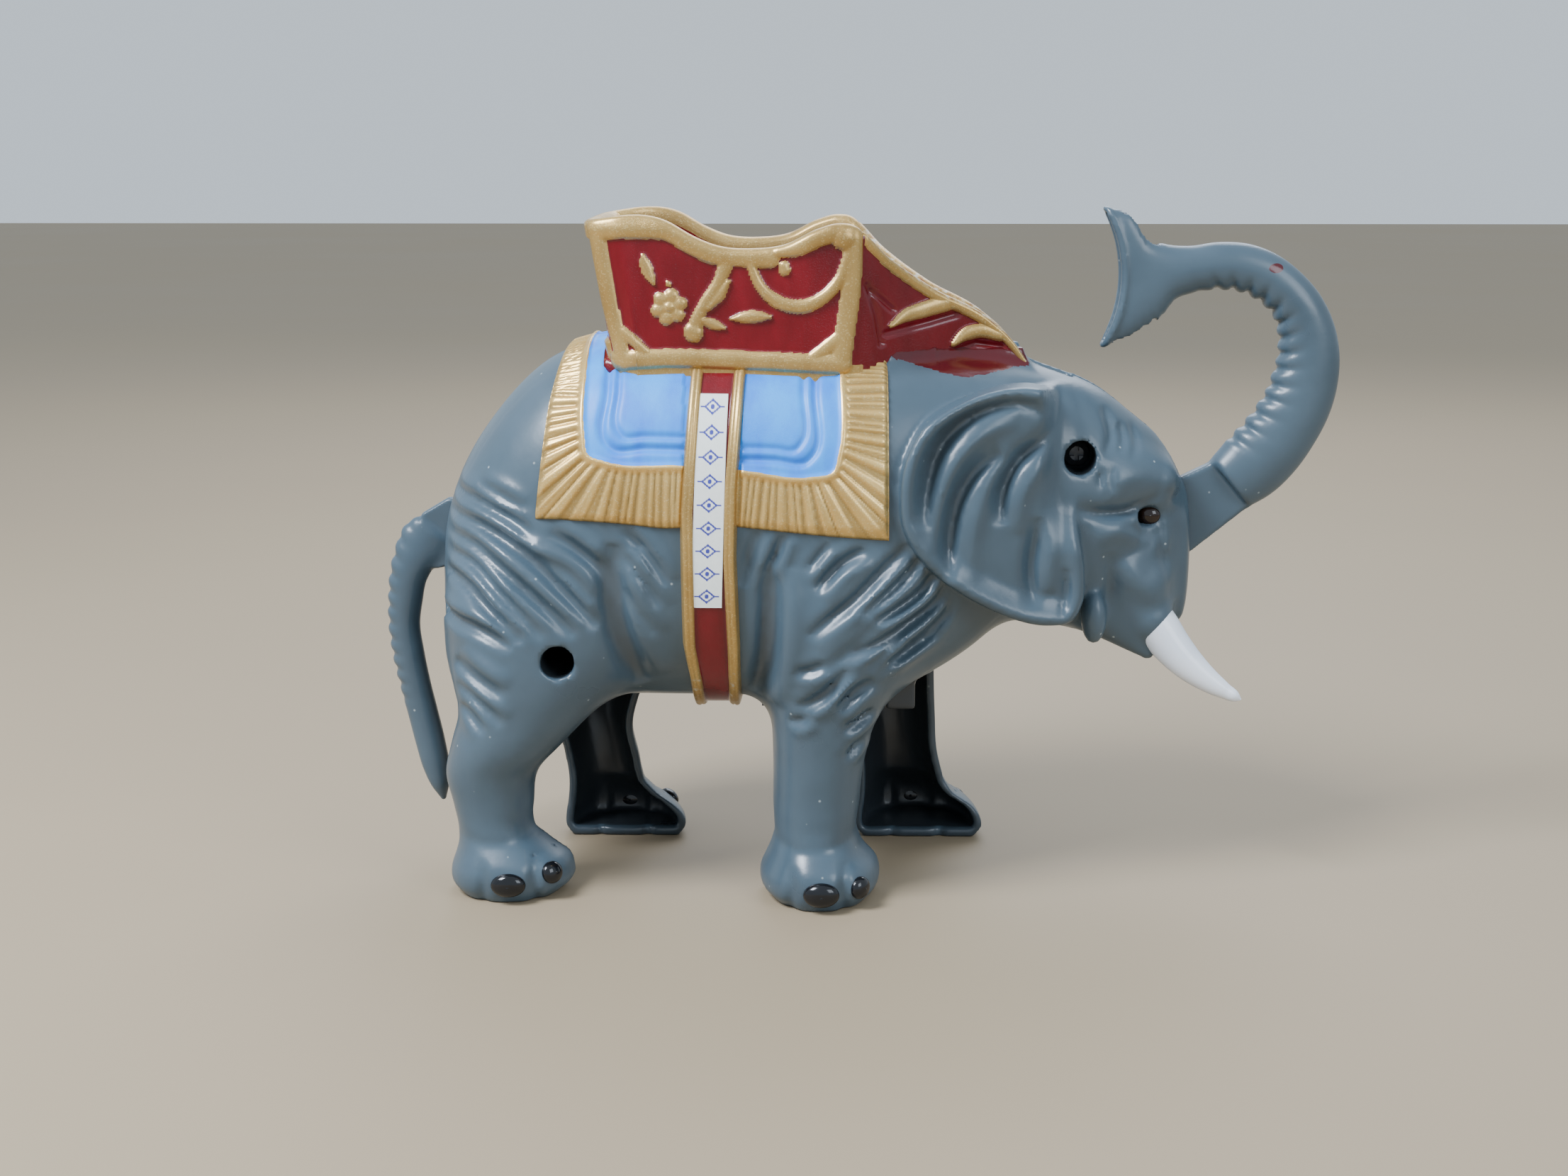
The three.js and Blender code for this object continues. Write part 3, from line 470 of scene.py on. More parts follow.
shellShape = {
    # x, top, bottom, half width
    "torso": [
        [-83.4, 62, 62, 0], [-82.6, 66, 57, 4], [-81, 75, 46, 12], [-78, 83, 41, 18.5], [-71, 94, 38, 24.5],
        [-62, 103, 37.5, 28], [-52, 107, 37.2, 29.8], [-38, 108, 37, 30.8], [-22, 108, 37, 31],
              [-6, 108, 37, 30.8],
        [6, 107.5, 37.4, 29.4], [14, 106.5, 41, 27.2], [22, 105.5, 46, 24.5], [30, 103, 53, 20.8],
              [34, 99, 57, 17.6],
        [38, 93, 63, 12.6], [41, 88, 69, 8], [43, 82, 76, 2.4]],
    "head": [
        [14, 82, 78, 1], [18, 98, 62, 16], [24, 102, 55, 20], [32, 103.6, 52, 20.5], [40, 101.6, 50.5, 20],
        [47, 98.6, 49, 18], [54, 93.4, 48, 14.8], [60, 88, 49, 11.2], [63.6, 82, 51, 8.2],
             [65.6, 77, 53, 6],
        [66.4, 70, 60, 1]],
    # z, back, front, outer side
    "legs": {
        -1: [[[-1, -78.2, -59, 27.6], [0, -78.6, -58.7, 28], [2, -80.4, -56.4, 29],
              [4.5, -80.6, -56.2, 29.5], [7, -79.8, -57.2, 29],
              [9.5, -79.1, -60.5, 27.5], [12.5, -79, -63.6, 26.5], [18, -80, -64, 26.5],
              [24, -81.2, -62.9, 27.5],
              [30, -79.9, -57.6, 29.5], [36, -78.4, -52, 30.5], [43, -79.2, -46.5, 31.5],
              [50, -79, -45, 31.6],
              [58, -77.5, -47, 30.6], [66, -73, -51, 28.6], [73, -68, -55, 25.5], [78, -62, -60, 17]],
             [[-1, -16.6, 2.2, 32.2], [0, -16.9, 2.5, 32.5], [2, -18.8, 4.3, 33.5], [4.5, -19, 4.6, 34],
              [7, -18, 3.6, 33.6],
              [9.5, -16.9, 1.3, 32], [12.5, -16.4, 0.2, 30.5], [18, -16.5, 0.6, 30], [27, -16.5, 1.6, 30.5],
              [38, -17.2, 5, 31.6], [46, -19, 9, 32.4], [55, -19.5, 11, 32], [64, -17, 10, 29.4],
              [70, -12, 6, 25], [75, -4, -2, 15]]],
        1: [[[-1, -59.8, -37.6, 27.6], [0, -60, -37.4, 28], [2, -61.4, -36, 29], [4.5, -61.5, -36.4, 29.5],
             [7, -61.1, -38.8, 29],
             [9.5, -60.8, -42.2, 27.5], [12.5, -60.7, -44.4, 26.5], [18, -61.5, -45.8, 26.5],
             [24, -63, -47, 27.5],
             [30, -65.5, -45.8, 29.5], [36, -70, -43.4, 30.5], [43, -76, -41, 31.5], [50, -78.5, -42, 31.6],
             [58, -77.5, -45, 30.6], [66, -73, -51, 28.6], [73, -68, -55, 25.5], [78, -62, -60, 17]],
            [[-1, 1.8, 25.4, 32.2], [0, 2, 25.6, 32.5], [2, 0.3, 27.1, 33.5], [4.5, 0.1, 26.8, 34],
             [7, 0.4, 24.9, 33.6],
             [9.5, 0.7, 21.2, 32], [12.5, 0.8, 19.4, 30.5], [18, 0.5, 17.7, 30], [27, -1.2, 17, 30.5],
             [38, -6, 16.6, 31.6],
             [46, -14, 16.6, 32.4], [55, -18, 15, 32], [64, -16, 12, 29.4], [70, -11, 7, 25],
             [75, -3, -1, 15]]]},
    "earOutline": [
        [38.4, 98.6], [34, 100.4], [27, 100.5], [18.7, 98], [12, 94], [8.6, 88], [7.6, 80], [8.3, 74.6],
                   [10.6, 70],
        [14, 66.1], [18.6, 62.4], [24.5, 58.8], [29.6, 56.4], [36, 54.8], [41.2, 55.4], [43.2, 59],
                   [43.4, 65], [42.3, 72],
        [41.6, 80], [40.6, 88], [39.4, 94.6]],

    # Folds of the ear, deepest in the long valley under its rim: points, depth, width, lean.
    "earFolds": [
        ([[11.9, 75], [12.9, 83], [15.2, 90], [19.6, 94.6], [25.4, 97.2], [31.4, 97.6], [35, 95.4]], 2.6,
         1.9, 0.35),
        ([[17.0, 64.5], [17.3, 72], [18.9, 80.1], [22.2, 85.3], [26.9, 88.6]], 2.3, 1.7, 0.4),
        ([[27.1, 74.7], [27.2, 80.5], [29.6, 86.0], [34.6, 90.2], [37.5, 93]], 2.2, 1.5, 0.4),
        ([[33.9, 76], [33.4, 71], [32.9, 66.1], [33.9, 58.4]], 1.5, 1.4, -0.2),
        ([[39.6, 66], [39.9, 61], [38.9, 56]], 0.8, 0.9, 0.0)],
    "earRidges": [
        ([[14.4, 70], [15.4, 80], [18.4, 87.6], [23.4, 92.4], [29.8, 94.6]], 1.5, 1.7, 0.0),
        ([[21.4, 64], [21.6, 74], [24.6, 83], [29.4, 88.4]], 1.1, 1.9, 0.0),
        ([[30.6, 73], [30.8, 80], [34.0, 85.4], [37.6, 88]], 1.2, 1.8, 0.0),
        ([[37.2, 77], [36.8, 70], [36.6, 61]], 1.3, 1.9, 0.0)],

    # Creases of the skin, side view: points, depth, width, lean.
    "creases": [
        ([[-73, 81.6], [-67.5, 79.6], [-63.2, 77.4]], 0.5, 1.1, 0.2),
        ([[-78.5, 79.5], [-72, 78], [-64, 74.2], [-61, 71.5]], 0.75, 1.2, 0.3),
        ([[-80, 75.6], [-71, 73.4], [-61.9, 68.4], [-55.8, 62.2], [-49.6, 55.4]], 0.95, 1.35, 0.3),
        ([[-80.5, 71.6], [-74.4, 70.4], [-66, 64.8], [-58.2, 58.1], [-53.8, 53.8]], 0.9, 1.35, 0.3),
        ([[-80.5, 68.2], [-74, 66.6], [-67.2, 60.8], [-59.7, 53.6]], 0.75, 1.3, 0.3),
        ([[-80.6, 64.2], [-75, 62.4], [-69, 57.4], [-63.6, 52.8]], 0.95, 1.3, 0.35),
        ([[-81.6, 56.4], [-77.2, 55.7], [-72.8, 55], [-65.6, 51.6]], 0.9, 1.2, 0.2),
        ([[-77.5, 48.4], [-74.6, 46.2], [-71.6, 44.2], [-67.6, 42]], 0.8, 1.5, 0.2),
        ([[-77.4, 43.6], [-74.4, 41.8], [-71.3, 39.4], [-68.2, 36.4]], 0.6, 1.2, 0.2),
        ([[-76.6, 39.6], [-74.4, 37.8], [-71.6, 34.6]], 0.5, 1.1, 0.0),
        ([[-58.6, 73.4], [-53.6, 70.6], [-49.6, 67.2], [-46.8, 63.4]], 0.7, 1.3, 0.3),
        ([[-60.4, 69.8], [-54.8, 65.8], [-50.4, 60.4]], 0.5, 1.1, 0.2),
        ([[-46.2, 72], [-46.9, 65], [-46.4, 57.3], [-43.6, 47.6], [-41.5, 43]], 1.5, 2.4, 0.2),
        ([[-44.4, 74.6], [-40.2, 69.6], [-36.4, 63.8]], 0.6, 1.1, 0.3),
        ([[-43.9, 69.7], [-40.5, 64.2], [-38, 59.2]], 0.55, 1.1, 0.3),
        ([[-44.1, 63.6], [-41, 57.4], [-38.8, 53.6]], 0.55, 1.2, 0.2),
        ([[-19.2, 74.6], [-20.6, 70], [-22, 63.6]], 0.6, 1.3, 0.0),
        ([[-14.4, 74], [-15.8, 70], [-17.8, 66.4]], 0.7, 1.0, 0.3),
        ([[-17.2, 67.5], [-17.1, 58.1], [-18.2, 47.2], [-20, 41]], 1.5, 2.0, 0.2),
        ([[-5.5, 72.3], [-7.6, 69.6], [-10, 66.6]], 0.45, 0.8, 0.2),
        ([[1.2, 71], [-3.4, 68.4], [-8.3, 63.2]], 0.95, 1.1, 0.35),
        ([[9.2, 71.4], [5, 67.6], [-1, 61.6], [-6.4, 57.2], [-9.6, 54.2]], 0.85, 1.2, 0.35),
        ([[12, 69.4], [8.4, 65.4], [4, 61.6], [-0.4, 58.4]], 0.6, 1.0, 0.3),
        ([[14.4, 66.2], [11.7, 62.4], [8.2, 60], [3, 57.2]], 0.85, 1.0, 0.3),
        ([[16.9, 63.6], [14.6, 60.2], [9.3, 56.3], [3.6, 53], [-1.8, 51]], 1.05, 1.15, 0.35),
        ([[18.4, 62.4], [17.2, 58.6], [14.2, 55], [9.6, 51.6], [5.4, 48.6]], 0.8, 1.2, 0.3),
        ([[9, 53.9], [5.6, 51.4], [1.2, 48.2]], 0.6, 0.9, 0.2),
        ([[16, 53.8], [11.6, 51.6], [7, 49.4], [3, 47.2]], 0.55, 1.0, 0.2),
        ([[2.8, 45.8], [-0.6, 43.9], [-4.3, 40]], 1.0, 1.3, 0.25),
        ([[-1.8, 48.4], [-6, 43.6], [-11.6, 39.9]], 0.95, 1.2, 0.25),
        ([[-6.2, 49.4], [-9, 48], [-12.2, 47.5]], 0.5, 1.0, 0.2),
        ([[2.6, 39.4], [0.2, 37.6], [-3, 35.9]], 0.8, 1.1, 0.3),
        ([[0.6, 33.4], [-0.9, 31.8], [-2.7, 29.7]], 0.6, 1.0, 0.3),
        ([[-8.6, 39.2], [-10.8, 37.8], [-13.3, 36.8]], 0.5, 1.0, 0.2),
        ([[3.4, 56.2], [-1, 52.4], [-6.5, 47.4]], 0.4, 1.3, 0.0)],
    # Clefts between the toes and the fold over them, measured from the leg's own middle.
    "toeCreases": [
        ([[4.9, 9.5], [4.6, 6], [4.6, 1], [4.8, -3]], 1.1, 1.1, 0.0),
        ([[-5.6, 8.5], [-5.2, 5], [-5.6, 0], [-5.8, -3]], 0.8, 1.1, 0.0),
        ([[-10.6, 12.4], [-4, 11.2], [4, 12.0], [7.6, 13.6]], 0.5, 1.3, 0.0)],
    "legMiddles": {-1: (-67.5, -7.2), 1: (-48.6, 13.6)},
    "headCreases": [
        ([[41.4, 77.0], [46, 75.7], [52.3, 75.8], [56.6, 77.8], [60.9, 80.4]], 1.9, 1.3, 0.2),
        ([[51.2, 73.8], [55.0, 71.6], [58.8, 71.0]], 0.7, 1.1, 0.0),
        ([[60.2, 80.6], [61.6, 78.6], [62.3, 76.4]], 1.1, 1.2, 0.0),
        ([[47.2, 95.4], [48.4, 90.4], [47.4, 86.4]], 1.0, 0.9, 0.2),
        ([[50.2, 92.4], [50.9, 89.4], [50.2, 86.6]], 0.9, 0.8, 0.2),
        ([[46.7, 84.6], [46.4, 82.8], [46.8, 80.8]], 0.8, 0.7, 0.0),
        ([[48.7, 84.9], [48.4, 82.4], [48.9, 79.8]], 0.8, 0.7, 0.0),
        ([[52.9, 92.0], [53.8, 88.4], [52.6, 85.6]], 0.7, 0.8, 0.0),
        ([[59.0, 77.4], [59.3, 69.7], [60.1, 65.0], [61.7, 57.0]], 0.8, 0.8, -0.3),
        ([[48.4, 68], [49.2, 61], [49, 54]], 1.2, 1.8, 0.1)],
    "headBulges": [
        ([[47, 80.6], [53, 82.8], [59.4, 83]], 1.6, 3.4, 0.0),
        ([[45, 70.6], [50.4, 72.0], [54.6, 70.4]], 1.1, 2.4, 0.0),
        ([[52.2, 66.6], [54.6, 61.8], [58.6, 57.4], [61.6, 54.4]], 2.0, 3.0, 0.0),
        ([[57.4, 69.4], [59.4, 68.4], [61.4, 68]], 0.5, 2.6, 0.0)]}
# Tusk root, lower lip, cheek and brow: start, end, radius at each end, fillet.
headLobes = [
    ((48, 7.0, 62.5), (57.4, 9.4, 53.6), 5.2, 5.0, 2.5), ((48, 8.5, 55), (57.4, 10.2, 46.8), 5.4, 1.5, 2.0),
    ((51, 7.5, 66), (56.5, 9.8, 61), 5.6, 4.4, 3.0), ((50, 9, 82), (58, 8.2, 80.6), 6.4, 4.6, 3.0)]


# Evenly spaced sample places along x, side and z.
def gridOf(x0, x1, a0, a1, z0, z1, spacing):
    return [np.linspace(low, high, int(round((high - low) / spacing)) + 1).astype(np.float32)
            for low, high in ((x0, x1), (a0, a1), (z0, z1))]


# Round bar across the shell: distance from a point of the side view less the radius.
def barField(x2, z2, centre, radius):
    return (np.hypot(x2 - centre[0], z2 - centre[1]) - radius)[:, None, :]


# Half tube of a leg: |x - middle|^n with the reach beyond the rim plane, down each height.
def legField(grid, table):
    x, side, z = grid
    table = np.asarray(table, float)
    rows = np.stack([(table[:, 1] + table[:, 2]) / 2, (table[:, 2] - table[:, 1]) / 2,
                     table[:, 3] - shellSizes["rim"]], 1)
    middle, half, reach = smoothTable(z, table[:, 0], rows).T
    half = half.clip(0.6)
    ratio = half / reach.clip(1)
    beyond = (z - table[-1, 0]).clip(0)
    out = (side - shellSizes["rim"]).clip(0)
    along = abs(x[:, None, None] - middle[None, None, :]) ** 2.4
    away = (out[None, :, None] * ratio[None, None, :]) ** 2.4
    return asDistance((along + away) ** (2 / 2.4) - (half**2 - 20 * beyond)[None, None, :], grid, (0, 1))


grid = gridOf(-85.6, 68.0, -0.9, 36.0, -1.0, 109.6, shellSizes["spacing"])
x2, z2 = np.meshgrid(grid[0], grid[2], indexing="ij")
side3 = grid[1][None, :, None]
skinRelief = 1.5 * np.tanh(1.35 * folds(x2, z2, shellShape["creases"], 0.36))
headRelief = folds(x2, z2, shellShape["headCreases"]) - folds(x2, z2, shellShape["headBulges"])
earEdge = outlineField(x2, z2, smoothPath(shellShape["earOutline"] + shellShape["earOutline"][:1], 90)[:-1])
earShare = (x2 - 7.6) / (42 - 7.6)
earTop = 32.4 + earShare * (22.6 - 32.4) + 0.7 * np.exp(-((earEdge + 1.4) / 1.3) ** 2)
earTop = earTop - 1.2 * step(-earEdge, 2.0, 6.0)
earFoldSum = folds(x2, z2, shellShape["earFolds"])
earTop = earTop - 1.2 * earFoldSum + folds(x2, z2, shellShape["earRidges"])
# Painted shade: darker in the skin creases, head creases and ear folds, by their depth.
foldShadeMap = np.clip(skinRelief / 1.3, 0, 1) * 0.75 + np.clip(headRelief / 1.4, 0, 1) * 0.6
foldShadeMap = foldShadeMap + 0.8 * np.clip(earFoldSum / 2.2, 0, 1) * (earEdge < 0)
rampSide = np.interp(grid[0], [-2, 2, 10, 20, 34], [22.4, 20.4, 13.6, 9.2, 7.0])
redLine = np.interp(grid[0], [5, 7.1, 13, 20.3, 26, 30.4, 33, 35],
                    [106.4, 105.2, 103.4, 101.7, 102.4, 103.2, 103.0, 112])
print("side view relief drawn")

torso = roundBody(grid, shellShape["torso"], 2.6)
head = roundBody(grid, shellShape["head"], 2.3)
bare = softUnion(torso, head, 6)
headShare = step(grid[0], 36, 44)[:, None, None]
trunkSlot = outlineField(x2, z2, [[6, 97], [32, 96], [41, 95], [50, 88], [57, 81], [58.5, 63.2], [80, 63.2],
                                  [80, 140], [6, 140]])
lipSlot = outlineField(x2, z2, [[6, 97], [42, 95], [42, 140], [6, 140]])
tailSlot = outlineField(x2, z2, [[-92, 60.4], [-77, 60.4], [-74, 72], [-77, 84], [-92, 84]])


# Rod with round ends between two points, its radius running evenly between them.
def capsule(start, end, radius0, radius1):
    run = np.subtract(end, start)
    offset = [(x2 - start[0])[:, None, :], side3 - start[1], (z2 - start[2])[:, None, :]]
    t = np.clip(sum(o * r for o, r in zip(offset, run)) / (run @ run), 0, 1)
    return np.sqrt(sum((o - t * r) ** 2 for o, r in zip(offset, run))) - radius0 - t * (radius1 - radius0)


# Ellipsoid: root of the squared offsets over the half sizes, less one.
def ball(middle, size):
    return np.sqrt(((x2 - middle[0]) / size[0])[:, None, :] ** 2 + ((side3 - middle[1]) / size[1]) ** 2
                   + ((z2 - middle[2]) / size[2])[:, None, :] ** 2) - 1

# Outermost crossing of a field over the side view: where a decal or a dome sits.
def sideHeight(outer):
    inside = outer < 0
    last = outer.shape[1] - 1 - np.argmax(inside[:, ::-1, :], axis=1)
    last = np.clip(last, 0, outer.shape[1] - 2)
    low = np.take_along_axis(outer, last[:, None, :], 1)[:, 0]
    high = np.take_along_axis(outer, last[:, None, :] + 1, 1)[:, 0]
    return grid[1][last] + (grid[1][1] - grid[1][0]) * low / (low - high + 1e-9)


headHeight = np.where((bare < 0).any(1), sideHeight(bare), 0)
joined = step(x2, 33.5, 39.5) * step(z2, 68, 82)
earTop = earTop + (headHeight - 1.3 - earTop) * joined


# One half shell: torso, head, ear and two legs, hollowed and cut, as a field on the grid.
def shellField(side):
    s = shellSizes
    skin = torso
    for table in shellShape["legs"][side]:
        leg = legField(grid, table)
        skin = softUnion(skin, leg, 7)
    skin = softCut(skin, np.minimum(s["rim"] - side3, torso - 0.3), 0.8)
    skin = softUnion(skin, head + headRelief[:, None, :] * headShare, 5)
    toes = sum(fold(x2 - middle,
                    z2, *c) for c in shellShape["toeCreases"] for middle in shellShape["legMiddles"][side])
    skin = skin + (skinRelief * (1 - step(x2, 17, 20)) + toes)[:, None, :]
    skin = softUnion(skin, ball((46.0, 16.0, 55.0), (2.5, 3.4, 5.2)) * 2.5, 1.2)
    for start, end, radius0, radius1, fillet in headLobes:
        skin = softUnion(skin, capsule(start, end, radius0, radius1), fillet)
    ear = softCut(earEdge[:, None, :], side3 - earTop[:, None, :], 1.5)
    inner = (26 + earShare * (10 - 26))[:, None, :] - side3
    ear = np.maximum(ear, inner)
    blendIn = (0.8 + 3.4 * step(x2, 33, 40) * step(z2, 80, 92))[:, None, :]
    skin = softUnion(skin, ear, blendIn)
    ramp = np.maximum(abs(side3 - (rampSide - 1.4)[:, None, None]) - 0.9, (z2 - 106.5)[:, None, :])
    ramp = np.maximum(ramp, np.maximum(np.maximum(6.5 - x2, x2 - 32), 101 - z2)[:, None, :])
    skin = softUnion(skin, ramp, 3.5)
    skin = softCut(skin, -ball((56.9, 13.2, 74.3), (2.7, 3.0, 2.2)) * 2.2, 0.8)
    skin = np.maximum(skin, -z2[:, None, :])
    outer = skin

    behind = (skinRelief * (1 - step(x2, 17, 20)))[:, None, :]
    hollow = bare + s["wall"] + behind + headRelief.clip(0)[:, None, :] * headShare
    for table in shellShape["legs"][side]:
        inside = softCut(legField(grid, table) + s["legWall"] + 0.7 * behind + toes[:, None, :],
                         (s["sole"] - z2)[:, None, :], 1)
        hollow = np.minimum(hollow, np.maximum(inside, -torso - 0.2))
    walls = softCut(skin, -hollow, 0.5)
    deep = np.maximum(-side3, outer)
    bosses = [np.maximum(barField(x2, z2, p, 3.95), 2.5 - side3) for p in (trunkPivot, tailPivot)]
    around = s["recessWall"] if side < 0 else 3.85
    bosses += [barField(x2, z2, p, around) for p in (headScrew, hipScrew)]
    for boss in bosses:
        walls = np.minimum(walls, np.maximum(boss, deep))
    lug = np.maximum(np.maximum(abs(x2 - 8.5) - 3, abs(z2 - 38.3) - 2.9)[:, None, :],
                     abs(side3 - 11.3) - 1.9)
    walls = np.minimum(walls, lug)
    cuts = [np.maximum(trunkSlot[:, None, :], side3 - s["slot"]),
            np.maximum(lipSlot[:, None, :], side3 - s["lipSlot"]),
            np.maximum(tailSlot[:, None, :], side3 - s["slot"]),
            np.maximum(np.maximum(abs(x2 + 4.15) - 15.25, abs(z2 - 37.8) - 5.2)[:, None, :], side3 - 9.4),
            np.maximum(barField(x2, z2, (8.5, 37.8), 1.4), side3 - 11.8)]
    cuts += [np.maximum(barField(x2, z2, p, s["pinHole"]), side3 - 9.3) for p in (trunkPivot, tailPivot)]
    for p in (headScrew, hipScrew):
        if side < 0:
            cuts += [np.maximum(barField(x2, z2, p, s["recess"]), 9 - side3),
                     barField(x2, z2, p, s["screwHole"])]
        else:
            cuts.append(np.maximum(barField(x2, z2, p, s["screwHole"]), side3 - 7))
    for cut in cuts:
        walls = np.maximum(walls, -cut)
    return np.maximum(walls, s["seam"] - side3), outer


# Reads a side-view map at points, between its nodes.
def readMap(values, x, z):
    i = (x - grid[0][0]) / (grid[0][1] - grid[0][0])
    k = (z - grid[2][0]) / (grid[2][1] - grid[2][0])
    i0 = np.clip(np.floor(i).astype(int), 0, len(grid[0]) - 2)
    k0 = np.clip(np.floor(k).astype(int), 0, len(grid[2]) - 2)
    u, w = np.clip(i - i0, 0, 1), np.clip(k - k0, 0, 1)
    return ((1 - u) * ((1 - w) * values[i0, k0] + w * values[i0, k0 + 1])
            + u * ((1 - w) * values[i0 + 1, k0] + w * values[i0 + 1, k0 + 1]))


# Reads a field on the grid at points: the eight corners of each cell, weighted by nearness.
def readField(field, points):
    place = np.stack([(points[:, k] - grid[k][0]) / (grid[k][1] - grid[k][0]) for k in range(3)], 1)
    cell = np.clip(np.floor(place).astype(int), 0, np.array(field.shape) - 2)
    near = np.clip(place - cell, 0, 1)
    total = 0
    for corner in np.ndindex(2, 2, 2):
        weight = np.where(corner, near, 1 - near).prod(1)
        total = total + weight * field[tuple((cell + corner).T)]
    return total


names = {-1: "right", 1: "left"}
heights = {}
for side in (-1, 1):
    field, outer = shellField(side)
    heights[side] = sideHeight(outer)
    points, quads = fieldSurface(field, grid)
    # outside is 1 on the outer skin and 0 on the inner faces; the inner faces, the trap lug and, partly,
    # the middle of the underside below z 37 get painted shade from it.
    outside = step(readField(outer, points), -1.5, -0.6)
    outside *= 1 - (np.hypot(points[:, 0] - 8.5,
                             points[:, 2] - 38.3) < 5) * (abs(points[:, 1] - 11.3) < 2.3)
    outside *= 1 - 0.6 * (1 - step(points[:, 1], 15.2, 16.6)) * (points[:, 2] < 37)
    line = np.interp(points[:, 0], grid[0], redLine)
    rampEdge = np.interp(points[:, 0], grid[0], rampSide) - 1.5
    red = (points[:, 2] > line) & (points[:, 0] > 5) & (points[:, 0] < 34) & (points[:, 1] > rampEdge)
    finish = np.stack([red * 1.0, readMap(foldShadeMap, points[:, 0], points[:, 2]) * outside, outside], 1)
    points = points * [1, side, 1]
    shell = putMesh(f"shell_{names[side]}_skin", points, quads, plastic, "body", finish)
    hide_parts(f"shell_{names[side]}")
print("shells done")


# Trunk and tail

# Lever drawn in the side view: a limb about a curved axis, a flat blade, a hub and an arm with an
# eye. The limb is ((|away| * thick / deep)^n + |y|^n)^(2/n) - thick^2.
def leverField(grid, part):
    x2, z2 = np.meshgrid(grid[0], grid[2], indexing="ij")
    across = abs(grid[1])[None, :, None]
    table = np.asarray(part["stations"], float)
    run = np.r_[0, np.cumsum(np.hypot(*np.diff(table[:, :2], axis=0).T))]
    path = smoothPath(table[:, :2], 70)
    away, share, hand = nearLine(x2, z2, path)
    deep, thick, power = smoothTable(share, run / run[-1], table[:, 2:]).T
    deep, thick, power = deep.T.clip(0.3), thick.T.clip(0.3), power.T.clip(2)
    along = share * run[-1]
    away = away + part["ribs"](along, hand * away / deep)
    flat = (away * thick / deep)[:, None, :] ** power[:, None, :]
    power3 = power[:, None, :]
    limb = asDistance((flat + across ** power3) ** (2 / power3) - thick[:, None, :] ** 2, grid)
    first = path[1] - path[0]
    first = first / np.hypot(*first)
    behind = np.where(share < 0.25, -((x2 - path[0, 0]) * first[0] + (z2 - path[0, 1]) * first[1]), -20)
    limb = softCut(limb, behind[:, None, :], 1.2)
    pivot, eye = part["pivot"], part["eye"]
    plate = np.minimum(outlineField(x2, z2, part["blade"]), np.hypot(x2 - pivot[0], z2 - pivot[1]) - 4.6)
    armAway, _, _ = nearLine(x2, z2, [pivot, eye])
    plate = np.minimum(plate, armAway - 2.9)
    body = softUnion(limb, softCut(plate[:, None, :], across - 1.5, 0.4), 1.0)
    holes = np.minimum(np.hypot(x2 - pivot[0], z2 - pivot[1]) - 1.55,
                       np.hypot(x2 - eye[0], z2 - eye[1]) - 1.7)
    return np.maximum(body, -holes[:, None, :]), x2, z2, across


# Pinched rings along the hollow side of the curl, dying out half-way across.
def trunkRibs(along, across):
    place = (along + 1.4 * across) / 4.05
    valley = np.exp(-(((place - np.round(place)) * 4.05) / 0.95) ** 2) * 0.8 - 0.2
    return valley * step(across, -0.25, 0.75) * step(along, 3.5, 8) * (1 - step(along, 58, 66))


# Scallops down the outer edge, like plaited hair.
def tailRibs(along, across):
    place = (along - 1.0 * across) / 3.1
    valley = np.exp(-(((place - np.round(place)) * 3.1) / 0.8) ** 2) * 0.55 - 0.1
    return valley * step(-across, -0.1, 0.8) * step(along, 1, 4) * (1 - step(along, 32, 40))


trunkPart = {
    "stations": [[74.1, 78.9, 6.1, 4.6, 2.2], [78, 82.2, 7.0, 4.9, 2], [81.4, 85.8, 7.1, 5, 2],
                 [84.5, 90.2, 6.9, 4.9, 2],
                 [86.9, 94.8, 6.7, 4.8, 2], [88.2, 99.4, 6.5, 4.6, 2], [88.7, 104, 6.1, 4.5, 2],
                 [88.1, 108.9, 5.6, 4.3, 2],
                 [86.4, 113.4, 5, 4.2, 2], [83.4, 117.1, 4.7, 4.1, 2], [79.6, 119.9, 4.7, 4, 2],
                 [75.4, 121.5, 4.7, 3.9, 2],
                 [70.5, 121.9, 4.6, 3.8, 2], [65.2, 121.2, 4.6, 3.6, 2], [60.8, 120.6, 5.6, 3.4, 2.1],
                 [56.2, 119.6, 9.3, 3.2, 2.6], [53, 119.5, 11.9, 3.1, 3.2], [50, 119.7, 13.1, 2.9, 3.6],
                 [47.4, 119.7, 13.5, 2.6, 3.6]],
    "blade": [[70.4, 83.2], [64.2, 80.2], [56, 74], [50, 66], [54, 64.2], [65.2, 64], [78, 74.4],
              [77, 80.5]],
    "pivot": trunkPivot, "eye": (56.888, 77.338), "ribs": trunkRibs}
tailPart = {
    "stations": [[-85.0, 69.4, 4.2, 2.2, 2], [-87.4, 66.4, 5.0, 2.6, 2], [-89.2, 63.4, 4.4, 3, 2],
                 [-90.7, 59.4, 3.8, 3.1, 2], [-91.4, 54.8, 3.5, 3.1, 2],
                 [-91.8, 49.6, 3.2, 3, 2], [-91.1, 43.2, 3.2, 3, 2], [-89.9, 36.8, 3.1, 2.9, 2],
                 [-88.5, 30.6, 3.05, 2.8, 2],
                 [-87.2, 24.6, 3, 2.7, 2], [-86.2, 19.6, 2.7, 2.5, 2], [-85.4, 15.6, 1.8, 1.9, 2],
                 [-84.9, 13, 0.6, 0.8, 2]],
    "blade": [[-87.4, 72.4], [-82, 75.6], [-74, 75], [-72, 66], [-78, 63], [-84.5, 61.2], [-87, 62]],
    "pivot": tailPivot, "eye": (-68.843, 62.12), "ribs": tailRibs}

